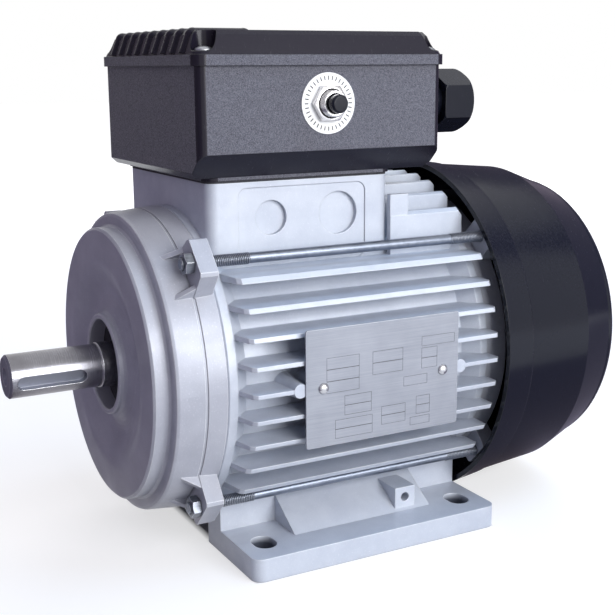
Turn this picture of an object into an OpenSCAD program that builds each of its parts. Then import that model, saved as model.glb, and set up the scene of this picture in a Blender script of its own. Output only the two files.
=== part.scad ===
// Foot-mounted single-phase electric motor with a capacitor box on top.
// X runs across the motor, Y along the shaft with the drive end towards -Y, and Z is up.
// The origin is the centre of the four foot slots, on the plane that the feet stand on.

/* [Feet] */
// Height of the shaft axis above the feet
shaft_h = 80; // [79.5:0.1:80.5]
// Distance between the foot slots across the motor
foot_hole_x = 125; // [124:0.5:126]
// Distance between the foot slots along the motor
foot_hole_y = 100; // [99:0.5:101]
// Width of a foot slot
slot_w = 10; // [9:0.5:11]
// Overall length of a foot slot, which runs across the motor
slot_l = 13; // [11.5:0.5:14]
// Overall width over both feet
foot_w = 156.4; // [154:0.2:158]
// Length of a foot along the motor
foot_l = 123; // [122:0.5:126]
// Thickness of a foot
foot_t = 10; // [9:0.5:11]
// Radius of the outer corners of a foot
foot_corner_r = 5; // [3:0.5:8]
// Distance from the shaft plane to the upright wall behind the foot bolts
foot_wall_x = 43.5; // [42:0.5:45]
// Distance from the shaft plane to the inner side of a foot
foot_inner_x = 30; // [28:0.5:32]
// Length of the sloping web between the two slots of a foot
web_l = 70; // [64:1:74]
// Distance from the shaft plane to the toe of the sloping web
web_toe_x = 62.5; // [58:0.5:66]
// Height of the top of the sloping web
web_top_z = 22; // [18:0.5:25]
// Width and height of the earth terminal block on one foot
earth_size = 10.5; // [9:0.5:12]
// Place of the earth terminal block along the motor
earth_y = 22.5; // [18:0.5:26]
// Distance from the shaft plane to the outer face of the earth terminal block
earth_face_x = 61; // [58:0.5:64]
// Tapping diameter of the earth screw
earth_tap_d = 4.2; // [3.3:0.1:5]

/* [Shaft] */
// Diameter of the shaft end
shaft_d = 19; // [18:0.5:19]
// Free length of the shaft end
shaft_l = 40; // [36:1:42]
// Distance from the first foot slots to the shaft shoulder
shoulder_gap = 50; // [49:0.5:51]
// Diameter of the drive-end bearing journal
journal_d = 20; // [20:0.1:20.2]
// Diameter of the shaft in the rotor
rotor_seat_d = 24; // [23:0.5:26]
// Diameter of the fan-end bearing journal
fan_journal_d = 17; // [17:0.1:17.1]
// Diameter of the shaft under the fan
fan_seat_d = 15; // [14:0.5:16]
// Width of the keyway
key_w = 6; // [5:0.5:6]
// Depth of the keyway
key_depth = 3.5; // [3:0.1:4]
// Length of the keyway
key_l = 30; // [25:1:32]
// Angle of the keyway above the +X side, as the rotor stands
key_angle = -10; // [-90:1:90]
// Tapping diameter of the thread in the shaft end
end_tap_d = 5; // [4:0.2:5]
// Depth of the thread in the shaft end
end_tap_l = 16; // [12:1:20]

/* [Frame] */
// Length of the frame between the end shields
frame_l = 128.5; // [127:0.5:130]
// Diameter of the frame between the fins
floor_d = 124; // [123:0.5:125]
// Diameter of the bore that holds the stator
bore_d = 115; // [114:0.5:116]
// Diameter of the rings at the ends of the frame
ring_d = 136; // [134:0.2:137]
// Diameter over the fin tips
fin_d = 155; // [152:0.5:156]
// Distance between neighbouring fins
fin_pitch = 11.2; // [11:0.1:11.3]
// Thickness of a fin at its tip
fin_tip_t = 1.8; // [1.4:0.1:2.2]
// Thickness of a fin near the shaft
fin_root_t = 3.2; // [2.6:0.1:3.6]
// Fins on each upright side
side_fins = 9; // [7:2:9]
// Fins on the top, behind the pedestal
top_fins = 9; // [7:2:9]
// Fins on the underside, between the feet
bottom_fins = 5; // [3:2:5]
// How far the middle side fin lies below the shaft axis
fin_drop = 1; // [0:0.5:1.5]

/* [End shields] */
// Length of the drive-end shield
shield_l = 29; // [28:0.5:30]
// Distance from the shaft shoulder back to the face of the drive-end shield
face_setback = 4; // [3:0.5:5]
// Diameter of the face of the drive-end shield
face_d = 120; // [118:0.5:122]
// Width of the narrow band behind that face
face_band = 7.2; // [6:0.2:8]
// Outer diameter of the hub round the shaft
hub_d = 44.6; // [44:0.2:46]
// Diameter of the opening of the hub, which holds the seal
hub_bore_d = 40; // [39.5:0.1:40]
// Depth of the dished ring round the hub
dish_depth = 5; // [4:0.5:7]
// Outer diameter of the dished ring
dish_d = 94; // [86:1:98]
// Length of the fan-end shield outside the frame
fan_shield_l = 12.5; // [12:0.5:13]

/* [Tie rods] */
// Angle of the tie rods above and below the shaft plane
rod_angle = 43.4; // [43:0.1:44]
// Distance of the tie rods from the shaft axis
rod_r = 74.7; // [74:0.1:75.5]
// Thread diameter of the tie rods
rod_d = 5; // [4.5:0.1:5.2]
// Shank diameter of the tie rods between the threads
shank_d = 4.4; // [4:0.1:4.5]
// Width across the flats of a tie rod nut
rod_nut_af = 8; // [7:0.5:9]
// Height of a tie rod nut
rod_nut_h = 4; // [3:0.5:5]
// Width of the drive-end lugs that the rods pass through, at their ends
lug_w = 18.5; // [17:0.5:20]
// Width of the drive-end lugs at their roots
lug_root_w = 22.8; // [21:0.2:24]
// Width of the fan-end lugs
fan_lug_w = 16; // [15:0.5:17]
// Distance from the shaft axis to the end of a drive-end lug
lug_r = 79.5; // [79:0.5:81]
// Distance from the shaft axis to the end of a fan-end lug
fan_lug_r = 77.6; // [77:0.1:78]
// Thickness of a lug
lug_t = 9; // [8:0.5:10]
// Length of the gussets in front of a drive-end lug
gusset_l = 9; // [6:0.5:10]

/* [Fan cowl] */
// Diameter of the cowl at its front edge
cowl_front_d = 165; // [164:0.5:166]
// Diameter of the cowl at the end of its front band
cowl_band_d = 161; // [160:0.5:162]
// Diameter of the cowl at its rear edge line
cowl_rear_d = 153.4; // [152:0.2:155]
// Diameter of the cowl at its end
cowl_end_d = 139; // [137:0.5:141]
// Length of the cowl
cowl_l = 75.5; // [74:0.5:77]
// Length of the front band of the cowl
cowl_band_l = 15; // [14:0.5:16]
// Length of the tapered stretch at the rear of the cowl
cowl_taper_l = 24.5; // [22:0.5:26]
// Wall thickness of the cowl
cowl_wall = 2.2; // [2:0.1:2.5]
// Height of the flat underside of the cowl above the floor
cowl_flat_z = 1; // [0.5:0.1:1.5]
// Radius of the rear corner of the cowl
cowl_corner_r = 5; // [4:0.5:6]
// Width of a ring slot in the grille
grille_slot = 4.6; // [4:0.2:5]
// Distance between neighbouring ring slots
grille_pitch = 8; // [7.6:0.2:8.4]
// Ring slots in the grille
grille_rings = 6; // [4:1:6]
// Spokes that cross the ring slots
grille_spokes = 8; // [6:1:10]

/* [Cooling fan] */
// Diameter of the fan
fan_d = 132; // [124:1:136]
// Blades of the fan
fan_blades = 8; // [6:1:10]
// Length of the blades along the shaft
blade_l = 32; // [26:1:34]

/* [Pedestal] */
// Half width of the pedestal on the nameplate side
pedestal_half = 43.4; // [42.5:0.1:43.4]
// Half width of the pedestal on the other side
pedestal_far = 50; // [43.4:0.1:50]
// Place of the front of the pedestal along the motor
pedestal_front_y = -63.5; // [-63.5:0.5:-62]
// Length of the pedestal
pedestal_l = 87.3; // [85:0.1:88]
// Height of the top of the pedestal
pedestal_top_z = 161; // [160.5:0.5:162]
// Radius of the upright corners of the pedestal
pedestal_r = 5; // [3:0.5:6]
// Diameter of the small blind cable entry
small_entry_d = 14.6; // [13:0.2:16]
// Diameter of the large blind cable entry
large_entry_d = 18.6; // [17:0.2:20]
// Height of the blind cable entries
entry_z = 145.5; // [144:0.5:147]

/* [Capacitor box] */
// Half width of the box
box_half = 55.2; // [54:0.2:57]
// Place of the front end of the box along the motor
box_front_y = -71.7; // [-73:0.1:-70]
// Length of the box
box_l = 114.5; // [112:0.5:117]
// Radius of the upright corners of the box
box_r = 4; // [3:0.5:5]
// Wall thickness of the box and of its lid
box_wall = 2.6; // [2.2:0.1:3]
// Height of the lower edge of the upright walls
box_skirt_z = 173.6; // [172:0.2:175]
// Height of the underside of the box
box_floor_z = 163.5; // [163.5:0.1:164]
// Height of the rim of the box
box_rim_z = 211; // [210:0.5:211]
// Lower edge of the lip of the lid
lip_z = 208; // [207.5:0.1:208.5]
// Upper edge of the lip of the lid
lip_top_z = 212.4; // [212.2:0.1:213]
// How far the lip stands out from the box
lip_out = 1.5; // [1:0.1:2]
// Height of the top of the lid
lid_top_z = 221.8; // [221:0.2:223]
// How far the crown of the lid leans in, up to its top edge
lid_draft = 2.1; // [1.5:0.1:3]
// Ribs on the drive end of the lid
lid_ribs = 9; // [7:2:11]
// Distance between the ribs of the lid
lid_rib_pitch = 10.3; // [9.5:0.1:10.4]

/* [Circuit breaker] */
// Place of the reset button along the motor
breaker_y = -14; // [-18:0.5:-10]
// Height of the reset button
breaker_z = 192.7; // [191:0.1:194]
// Diameter of the reset button
button_d = 7.6; // [7:0.2:8]
// How far the reset button stands out from the box
button_out = 10.6; // [10:0.2:12]
// Diameter of the threaded bush round the button
bush_d = 11; // [10.5:0.1:11.5]
// Width across the flats of the bush nut
bush_nut_af = 14; // [13:0.5:15]
// Diameter of the label ring
label_d = 24.9; // [24:0.1:26]

/* [Cable gland] */
// Place of the gland across the motor
gland_x = 30; // [28:0.5:31]
// Height of the gland
gland_z = 191.7; // [190:0.1:193]
// Width across the flats of the gland nut
gland_af = 25; // [24:0.5:26]
// Diameter of the cable hole
gland_hole_d = 10; // [8:0.5:11]
// Diameter of the gland thread
gland_thread_d = 20.4; // [20:0.1:21]

/* [Nameplate] */
// Length of the nameplate
plate_l = 75; // [70:1:76]
// Height of the nameplate
plate_h = 50; // [46:1:52]
// Distance from the shaft plane to the back of the nameplate
plate_x = 77.6; // [77.6:0.1:78]
// Distance between the rivets of the nameplate
rivet_pitch = 59; // [56:1:62]

/* [Stator and rotor] */
// Length of the lamination stack
stack_l = 92; // [86:1:94]
// Diameter of the stator bore
stator_bore_d = 70; // [69:0.5:71]
// Gap between the stator and the rotor
air_gap = 0.4; // [0.35:0.05:0.6]
// Slots of the stator
stator_slots = 24; // [18:6:24]
// Bars of the rotor cage
rotor_bars = 18; // [14:1:20]

/* [Hidden] */
$fn = 96;

// Finishes
cast_silver = [0.72, 0.74, 0.78];
zinc_plate = [0.70, 0.73, 0.77];
bright_steel = [0.62, 0.63, 0.66];
core_steel = [0.36, 0.37, 0.40];
copper = [0.66, 0.36, 0.20];
brass_tone = [0.72, 0.58, 0.28];
gloss_black = [0.05, 0.05, 0.06];
matte_black = [0.10, 0.10, 0.12];
rubber_black = [0.07, 0.07, 0.07];
pale_plastic = [0.80, 0.80, 0.76];
label_white = [0.94, 0.94, 0.93];
plate_silver = [0.74, 0.74, 0.75];

// Stations along the shaft, from the drive end to the fan end
shoulder_y = -foot_hole_y / 2 - shoulder_gap;
shaft_end_y = shoulder_y - shaft_l;
face_y = shoulder_y + face_setback;
barrel_front_y = face_y + face_band;
frame_front_y = face_y + shield_l;
frame_rear_y = frame_front_y + frame_l;
lug_front_y = frame_front_y - lug_t;
fan_lug_set = 4.5;
fan_lug_front_y = frame_rear_y + fan_lug_set;
fan_lug_t = fan_shield_l - fan_lug_set;
fan_shield_rear_y = frame_rear_y + fan_shield_l;
cowl_set = 1.5;
cowl_front_y = frame_rear_y + cowl_set;
cowl_rear_y = cowl_front_y + cowl_l;
pedestal_rear_y = pedestal_front_y + pedestal_l;
pedestal_mid_y = pedestal_front_y + pedestal_l / 2;
box_rear_y = box_front_y + box_l;

// Small gaps: between fixed pieces, and round a turning or sliding piece
seat_gap = 0.1;
run_gap = 0.05;
// Overlap that makes a cut pass right through
over = 1;

// Bearings as [bore, outer diameter, width, ball diameter]; the gap lets the balls roll free
drive_bearing = [journal_d, 47, 14, 7.94];
fan_bearing = [fan_journal_d, 40, 12, 6.75];
drive_bearing_set = 14;
fan_bearing_set = 4;
drive_bearing_y = face_y + drive_bearing_set;
fan_bearing_y = frame_rear_y + fan_bearing_set;
ball_gap = 0.15;
bearing_balls = 8;

// Places that more than one piece depends on
rod_angles = [rod_angle, 180 - rod_angle, 180 + rod_angle, -rod_angle];
fin_mid_z = shaft_h - fin_drop;
lug_sink = 4;
lug_root_r = ring_d / 2 - lug_sink;
lug_chamfer = 1.2;
lug_rear_set = 1.2;
joint_chamfer = 0.5;
rod_play = 0.5;
rod_hole_d = rod_d + rod_play;
box_screw_x = 37;
box_screw_y = 37;
box_screw_d = 4;
box_screw_l = 8;
screw_head_h = 2.6;
lid_screw_in = 5;
lid_screw_d = 4;
lid_screw_l = 10;
lid_screw_seat = 1;
gasket_t = 1;
base_rim_out = 1.1;
breaker_face_x = box_half;
button_bore_d = button_d + 2 * run_gap;
lead_hole_d = 13;
lead_x = 8;
lead_clear = 8.5;
lead_y = -stack_l / 2 - lead_clear;
gland_neck_d = gland_thread_d - 1.4;
gland_hex_l = 6;
gland_inner_l = 10;
gland_nut_set = 11.2;
gland_nut_grip = 4;
gland_nut_y = box_rear_y + gland_nut_set;
gland_nut_l = 12.5;
gland_dome_l = 4;
plate_t = 0.8;
rivet_d = 3;
rivet_l = 5;
fan_set = 28;
fan_hub_l = 24;
shaft_tail = 6;
fan_disc_y = frame_rear_y + fan_set;
circlip_y = fan_disc_y + fan_hub_l;
shaft_rear_y = circlip_y + shaft_tail;

// Solid of revolution about the shaft axis, from a half section in [radius, y]
module turned() {
    translate([0, 0, shaft_h]) rotate([-90, 0, 0]) rotate_extrude() children();
}

// Prism along the shaft, from a section in [x, height above the shaft axis]
module along_y(y0, y1) {
    translate([0, y1, shaft_h]) rotate([90, 0, 0]) linear_extrude(y1 - y0) children();
}

// Prism across the motor, from a section in [y, z]
module along_x(x0, x1) {
    translate([x0, 0, 0]) rotate([90, 0, 90]) linear_extrude(x1 - x0) children();
}

// Upright prism, from a section in [x, y]
module upright(z0, z1) {
    translate([0, 0, z0]) linear_extrude(z1 - z0) children();
}

// Turns a piece about the shaft axis; before it, X is radial and Z tangential
module spoke(angle) {
    translate([0, 0, shaft_h]) rotate([0, -angle, 0]) children();
}

// A piece and its mirror image on the other side of the motor
module both_sides() {
    children();
    mirror([1, 0, 0]) children();
}

// Round bar or hole along Y, X or Z
module bar_y(d, x, z, y0, y1) {
    translate([x, y0, z]) rotate([-90, 0, 0]) cylinder(d = d, h = y1 - y0);
}

module bar_x(d, y, z, x0, x1) {
    translate([x0, y, z]) rotate([0, 90, 0]) cylinder(d = d, h = x1 - x0);
}

module bar_z(d, x, y, z0, z1) {
    translate([x, y, z0]) cylinder(d = d, h = z1 - z0);
}

// Hexagon of a given width across its flats, with two flats upright
module hexagon(af) {
    rotate(30) circle(d = af / cos(30), $fn = 6);
}

// Rectangle with round corners
module rounded_rect(x0, x1, y0, y1, r) {
    translate([x0 + r, y0]) square([x1 - x0 - 2 * r, y1 - y0]);
    translate([x0, y0 + r]) square([x1 - x0, y1 - y0 - 2 * r]);
    for (x = [x0 + r, x1 - r], y = [y0 + r, y1 - r])
        translate([x, y]) circle(r);
}

// Slot with round ends, centred, longer along X
module round_slot(l, w) {
    square([l - w, w], center = true);
    for (x = [-1, 1] * (l - w) / 2)
        translate([x, 0]) circle(d = w);
}

// Frame: a finned aluminium casting with the feet and the pedestal in one piece
fin_base = 40;
ring_front_l = 4;
ring_rear_l = 3.5;
ring_ramp_l = 6.5;
fin_start = 2;
fin_lean = 4.9;
fin_tip_cut = 1.6;

module frame_barrel() {
    floor_r = floor_d / 2;
    ring_r = ring_d / 2;
    turned() polygon([
        [bore_d / 2 - over, frame_front_y],
        [ring_r - joint_chamfer, frame_front_y],
        [ring_r, frame_front_y + joint_chamfer],
        [ring_r, frame_front_y + ring_front_l],
        [floor_r, frame_front_y + ring_front_l + ring_ramp_l],
        [floor_r, frame_rear_y - ring_rear_l - ring_ramp_l],
        [ring_r, frame_rear_y - ring_rear_l],
        [ring_r, frame_rear_y],
        [bore_d / 2 - over, frame_rear_y]
    ]);
}

// Space that the fins fill: their drive ends lean back and their tips are trimmed
module fin_envelope() {
    r0 = bore_d / 2;
    r1 = fin_d / 2;
    y0 = frame_front_y + fin_start;
    turned() polygon([
        [r0, y0],
        [r1 - fin_tip_cut, y0 + fin_lean],
        [r1, y0 + fin_lean + fin_tip_cut],
        [r1, frame_rear_y - fin_tip_cut],
        [r1 - fin_tip_cut, frame_rear_y],
        [r0, frame_rear_y]
    ]);
}

// Sections of a row of fins that point along +X, about a height above the shaft axis
module fin_row(count, mid) {
    for (i = [0 : count - 1])
        translate([0, mid + (i - (count - 1) / 2) * fin_pitch])
            polygon([
                [fin_base, fin_root_t / 2],
                [fin_d / 2, fin_tip_t / 2],
                [fin_d / 2, -fin_tip_t / 2],
                [fin_base, -fin_root_t / 2]
            ]);
}

module fins() {
    intersection() {
        fin_envelope();
        union() {
            along_y(frame_front_y, frame_rear_y) {
                fin_row(side_fins, -fin_drop);
                mirror([1, 0]) fin_row(side_fins, -fin_drop);
                rotate(-90) fin_row(bottom_fins, 0);
            }
            along_y(pedestal_rear_y - over, frame_rear_y) rotate(90) fin_row(top_fins, 0);
        }
    }
}

// Short tall stretch of the outermost top fins, beside the pedestal
module fin_riser() {
    riser_l = 8.5;
    riser_t = 2.6;
    riser_drop = 9;
    x = (top_fins - 1) / 2 * fin_pitch;
    translate([x - fin_root_t / 2, pedestal_rear_y - over, shaft_h + fin_base])
        cube([riser_t, riser_l + over, pedestal_top_z - riser_drop - shaft_h - fin_base]);
}

module foot() {
    half_l = foot_l / 2;
    upright(0, foot_t) {
        rounded_rect(foot_inner_x, foot_w / 2, -half_l, half_l, foot_corner_r);
        translate([foot_inner_x, -half_l]) square([foot_corner_r, foot_l]);
    }
    wall_top = shaft_h - sqrt(pow(floor_d / 2, 2) - pow(foot_wall_x, 2));
    translate([foot_inner_x, -half_l, 0])
        cube([foot_wall_x - foot_inner_x, foot_l, wall_top + over / 2]);
    along_y(-web_l / 2, web_l / 2) polygon([
        [foot_wall_x - over, foot_t - over - shaft_h],
        [web_toe_x + over, foot_t - over - shaft_h],
        [web_toe_x, foot_t - shaft_h],
        [foot_wall_x, web_top_z - shaft_h],
        [foot_wall_x - over, web_top_z - shaft_h]
    ]);
}

earth_tap_l = 10;
earth_tap_z = foot_t + (earth_size + over) / 2;

module earth_block() {
    translate([foot_wall_x - over, earth_y - earth_size / 2, foot_t - over])
        cube([earth_face_x - foot_wall_x + over, earth_size, earth_size + over]);
}

// Tapered bosses for the rivets of the nameplate, and a plain one beyond each end of it
boss_root_d = 10;
boss_tip_d = 6;
spare_boss_y = 39.5;

module plate_bosses() {
    for (y = [-1, 1] * rivet_pitch / 2, spare = [0, 1])
        translate([bore_d / 2, spare == 0 ? y : sign(y) * spare_boss_y, fin_mid_z])
            rotate([0, 90, 0])
                cylinder(d1 = boss_root_d, d2 = boss_tip_d, h = plate_x - bore_d / 2);
}

module pedestal() {
    upright(shaft_h + fin_base, pedestal_top_z)
        rounded_rect(-pedestal_far, pedestal_half, pedestal_front_y, pedestal_rear_y, pedestal_r);
}

// Shallow panel with two blind cable entries, sunk in each side of the pedestal
panel_depth = 0.6;
panel_r = 4;
panel_below_rod = 6;
entry_depth = 2.6;
panel_front_y = pedestal_front_y + 13.5;
panel_rear_y = pedestal_rear_y - 12.6;
panel_top_z = pedestal_top_z - 2.5;
small_entry_y = pedestal_mid_y - 14.8;
large_entry_y = pedestal_mid_y + 17.7;

module entry_panel(face_x) {
    panel_bottom_z = shaft_h + rod_r * sin(rod_angle) - panel_below_rod;
    along_x(face_x - panel_depth, face_x + over)
        rounded_rect(panel_front_y, panel_rear_y, panel_bottom_z, panel_top_z, panel_r);
    bar_x(small_entry_d, small_entry_y, entry_z, face_x - entry_depth, face_x + over);
    bar_x(large_entry_d, large_entry_y, entry_z, face_x - entry_depth, face_x + over);
}

// Passage for the winding leads through the pedestal, and the tapped screw holes in its top
module pedestal_cuts() {
    bar_z(lead_hole_d, lead_x, lead_y, shaft_h + fin_base, pedestal_top_z + over);
    for (x = [-1, 1] * box_screw_x, y = [-1, 1] * box_screw_y)
        bar_z(box_screw_d + 2 * seat_gap, x, pedestal_mid_y + y,
              pedestal_top_z - box_screw_l - 2 * over, pedestal_top_z + over);
}

module foot_slots() {
    for (x = [-1, 1] * foot_hole_x / 2, y = [-1, 1] * foot_hole_y / 2)
        translate([x, y, -over])
            linear_extrude(foot_t + 2 * over) round_slot(slot_l, slot_w);
}

module frame_housing() {
    color(cast_silver) difference() {
        union() {
            frame_barrel();
            fins();
            pedestal();
            both_sides() fin_riser();
            both_sides() foot();
            earth_block();
            plate_bosses();
        }
        along_y(frame_front_y - over, frame_rear_y + over) circle(d = bore_d);
        foot_slots();
        entry_panel(pedestal_half);
        mirror([1, 0, 0]) entry_panel(pedestal_far);
        pedestal_cuts();
        bar_x(earth_tap_d, earth_y, earth_tap_z, earth_face_x - earth_tap_l, earth_face_x + over);
        for (y = [-1, 1] * rivet_pitch / 2)
            bar_x(rivet_d + 2 * seat_gap, y, fin_mid_z, plate_x - rivet_l - over, plate_x + over);
    }
}

// Lug with a tie rod hole, before it is turned to its place round the shaft
module rod_lug(y0, t, end_r, width, root_width) {
    half = width / 2;
    difference() {
        translate([0, y0 + t, 0]) rotate([90, 0, 0]) linear_extrude(t) polygon([
            [lug_root_r, -root_width / 2],
            [end_r - lug_chamfer, -half],
            [end_r, lug_chamfer - half],
            [end_r, half - lug_chamfer],
            [end_r - lug_chamfer, half],
            [lug_root_r, root_width / 2]
        ]);
        bar_y(rod_hole_d, rod_r, 0, y0 - over, y0 + t + over);
    }
}

// Drive-end shield: a dished cover with the hub, the bearing seat and four rod lugs
dish_steps = 10;
flare_steps = 6;
groove_half = 0.6;
groove_depth = 0.5;
spigot_l = 4;
spigot_r = bore_d / 2 - seat_gap;
cavity_r = 53.5;
cavity_depth = 22.5;
shield_wall = 3;
bearing_boss_r = 29;
rim_round = 1.6;
barrel_draft = 1.9;
face_edge = 1;
hub_edge = 0.5;
hub_proud = 1.2;
hub_flare = 8;
gusset_t = 2.2;
gusset_h = 3.6;
gusset_in = 0.3;
gusset_foot = 1;

module drive_shield_section() {
    ring_r = ring_d / 2;
    face_r = face_d / 2;
    dish_r = dish_d / 2;
    hub_r = hub_d / 2;
    hub_foot_r = hub_r + hub_flare;
    hub_front_y = face_y - hub_proud;
    seat_r = drive_bearing[1] / 2;
    rim_r = ring_r - barrel_draft;
    groove_r = ring_r - barrel_draft * (frame_front_y - lug_front_y) / (frame_front_y - barrel_front_y);
    rim_45 = rim_round * (1 - sin(45));
    flare_rise = dish_depth + hub_proud - hub_edge;
    dish = [for (i = [0 : dish_steps]) let (t = i / dish_steps)
        [dish_r + (hub_foot_r - dish_r) * t, face_y + dish_depth * (1 - cos(180 * t)) / 2]];
    flare = [for (i = [1 : flare_steps]) let (a = 90 * i / flare_steps)
        [hub_foot_r - hub_flare * sin(a), face_y + dish_depth - flare_rise * (1 - cos(a))]];
    polygon(concat(
        [
            [spigot_r, frame_front_y + spigot_l],
            [spigot_r, frame_front_y],
            [ring_r - joint_chamfer, frame_front_y],
            [ring_r, frame_front_y - joint_chamfer],
            [groove_r, lug_front_y + groove_half],
            [groove_r - groove_depth, lug_front_y + groove_half],
            [groove_r - groove_depth, lug_front_y - groove_half],
            [groove_r, lug_front_y - groove_half],
            [rim_r, barrel_front_y + rim_round],
            [rim_r - rim_45, barrel_front_y + rim_45],
            [rim_r - rim_round, barrel_front_y],
            [face_r + face_edge, barrel_front_y],
            [face_r, barrel_front_y - face_edge],
            [face_r, face_y + face_edge],
            [face_r - face_edge, face_y]
        ],
        dish,
        flare,
        [
            [hub_r - hub_edge, hub_front_y],
            [hub_bore_d / 2 + hub_edge, hub_front_y],
            [hub_bore_d / 2, hub_front_y + hub_edge],
            [hub_bore_d / 2, drive_bearing_y],
            [seat_r, drive_bearing_y],
            [seat_r, frame_front_y],
            [bearing_boss_r, frame_front_y],
            [bearing_boss_r + boss_draft, face_y + dish_depth + shield_wall],
            [(bearing_boss_r + cavity_r) / 2, face_y + dish_depth],
            [cavity_r - shield_wall, frame_front_y - cavity_depth],
            [cavity_r, frame_front_y - cavity_depth + shield_wall],
            [cavity_r, frame_front_y + spigot_l]
        ]
    ));
}

// Pair of thin triangular ribs that brace a lug against the shield, leaning as its sides do
module gussets() {
    lean = atan((lug_root_w - lug_w) / 2 / (lug_r - lug_chamfer - lug_root_r));
    top = lug_sink + gusset_h;
    for (side = [0, 1])
        mirror([0, 0, side]) translate([lug_root_r, 0, lug_root_w / 2]) rotate([0, lean, 0])
            translate([0, 0, -gusset_t - gusset_in]) linear_extrude(gusset_t) polygon([
                [gusset_foot, lug_front_y + gusset_in],
                [top, lug_front_y + gusset_in],
                [top, lug_front_y],
                [gusset_foot, lug_front_y - gusset_l]
            ]);
}

module drive_end_shield() {
    color(cast_silver) union() {
        turned() drive_shield_section();
        for (a = rod_angles)
            spoke(a) {
                rod_lug(lug_front_y, lug_t - lug_rear_set, lug_r, lug_w, lug_root_w);
                gussets();
            }
    }
}

// Fan-end shield: the cover under the cowl, with the rear bearing seat and four rod lugs
wave_room = 2;
shaft_clear = 1;
boss_draft = 1;

module fan_shield_section() {
    rim_r = ring_d / 2 - joint_chamfer;
    seat_r = fan_bearing[1] / 2;
    boss_r = seat_r + 7;
    boss_foot_r = seat_r + 13;
    seat_end_y = fan_bearing_y + fan_bearing[2] + wave_room;
    boss_end_y = seat_end_y + shield_wall;
    web_y = fan_shield_rear_y - 5;
    shaft_hole_r = fan_journal_d / 2 + shaft_clear;
    polygon([
        [spigot_r, frame_rear_y - spigot_l],
        [spigot_r, frame_rear_y],
        [rim_r, frame_rear_y],
        [rim_r, fan_shield_rear_y - rim_round],
        [rim_r - rim_round, fan_shield_rear_y],
        [boss_foot_r, fan_shield_rear_y],
        [boss_r + boss_draft, boss_end_y - boss_draft],
        [boss_r, boss_end_y],
        [shaft_hole_r, boss_end_y],
        [shaft_hole_r, seat_end_y],
        [seat_r, seat_end_y],
        [seat_r, frame_rear_y + over],
        [boss_r, frame_rear_y + over],
        [boss_r + boss_draft, web_y],
        [cavity_r, web_y],
        [cavity_r, frame_rear_y - spigot_l]
    ]);
}

module fan_end_shield() {
    color(cast_silver) union() {
        turned() fan_shield_section();
        for (a = rod_angles)
            spoke(a) rod_lug(fan_lug_front_y, fan_lug_t, fan_lug_r, fan_lug_w, fan_lug_w);
    }
}

// Tie rods, threaded at both ends, with a nut on each end
rod_proud = 1;
rod_front_y = lug_front_y - rod_nut_h - rod_proud;
rod_rear_y = fan_shield_rear_y + rod_nut_h + rod_proud;
thread_l = 30;

module tie_rods() {
    color(zinc_plate) for (a = rod_angles)
        spoke(a) {
            bar_y(rod_d, rod_r, 0, rod_front_y, rod_front_y + thread_l);
            bar_y(shank_d, rod_r, 0, rod_front_y + thread_l, rod_rear_y - thread_l);
            bar_y(rod_d, rod_r, 0, rod_rear_y - thread_l, rod_rear_y);
        }
}

module rod_nut(y0) {
    translate([rod_r, y0 + rod_nut_h, 0]) rotate([90, 0, 0]) linear_extrude(rod_nut_h) difference() {
        hexagon(rod_nut_af);
        circle(d = rod_d + 2 * run_gap);
    }
}

module tie_rod_nuts() {
    color(zinc_plate) for (a = rod_angles)
        spoke(a) {
            rod_nut(lug_front_y - rod_nut_h);
            rod_nut(fan_shield_rear_y);
        }
}

// Stator: a slotted lamination stack with a winding overhang at each end
slot_root_d = 100;
slot_mouth = 2.4;
slot_inner_w = 4.4;
slot_outer_w = 7.2;
tooth_tip = 1.6;

module stator_core() {
    bore_r = stator_bore_d / 2;
    color(core_steel) along_y(-stack_l / 2, stack_l / 2) difference() {
        circle(d = bore_d - 2 * seat_gap);
        circle(d = stator_bore_d);
        for (i = [0 : stator_slots - 1])
            rotate((i + 0.5) * 360 / stator_slots) {
                translate([bore_r - over, -slot_mouth / 2]) square([tooth_tip + 2 * over, slot_mouth]);
                polygon([
                    [bore_r + tooth_tip, -slot_inner_w / 2],
                    [slot_root_d / 2, -slot_outer_w / 2],
                    [slot_root_d / 2, slot_outer_w / 2],
                    [bore_r + tooth_tip, slot_inner_w / 2]
                ]);
            }
    }
}

// Overhang of the winding: a bundle of wire bent round beyond the slots
winding_in_r = 38;
winding_out_r = 51;
winding_round = 5;
winding_front_y = frame_front_y - 1;
winding_rear_y = frame_rear_y + 4;

module winding(y0, y1) {
    color(copper) turned() rounded_rect(winding_in_r, winding_out_r, y0, y1, winding_round);
}

module winding_drive_end() {
    winding(winding_front_y, -stack_l / 2 - seat_gap);
}

module winding_fan_end() {
    winding(stack_l / 2 + seat_gap, winding_rear_y);
}

// Ball bearings: rings with a round groove, and the balls in their cage
ring_land = 0.4;

function ball_pitch_r(b) = (b[0] + b[1]) / 4;

module bearing_groove(b) {
    translate([ball_pitch_r(b), b[2] / 2]) circle(d = b[3] + 2 * ball_gap);
}

module bearing_outer(b, y0) {
    land_r = ball_pitch_r(b) + ring_land * b[3];
    color(bright_steel) translate([0, y0, 0]) turned() difference() {
        translate([land_r, 0]) square([b[1] / 2 - land_r, b[2]]);
        bearing_groove(b);
    }
}

module bearing_inner(b, y0) {
    land_r = ball_pitch_r(b) - ring_land * b[3];
    color(bright_steel) translate([0, y0, 0]) turned() difference() {
        translate([b[0] / 2, 0]) square([land_r - b[0] / 2, b[2]]);
        bearing_groove(b);
    }
}

module bearing_balls_in_cage(b, y0) {
    cage_t = 1.6;
    cage_l = 4;
    color(bright_steel) union() {
        translate([0, y0, 0]) turned()
            translate([ball_pitch_r(b) - cage_t / 2, (b[2] - cage_l) / 2]) square([cage_t, cage_l]);
        for (i = [0 : bearing_balls - 1])
            spoke(i * 360 / bearing_balls)
                translate([ball_pitch_r(b), y0 + b[2] / 2, 0]) sphere(d = b[3]);
    }
}

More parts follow.
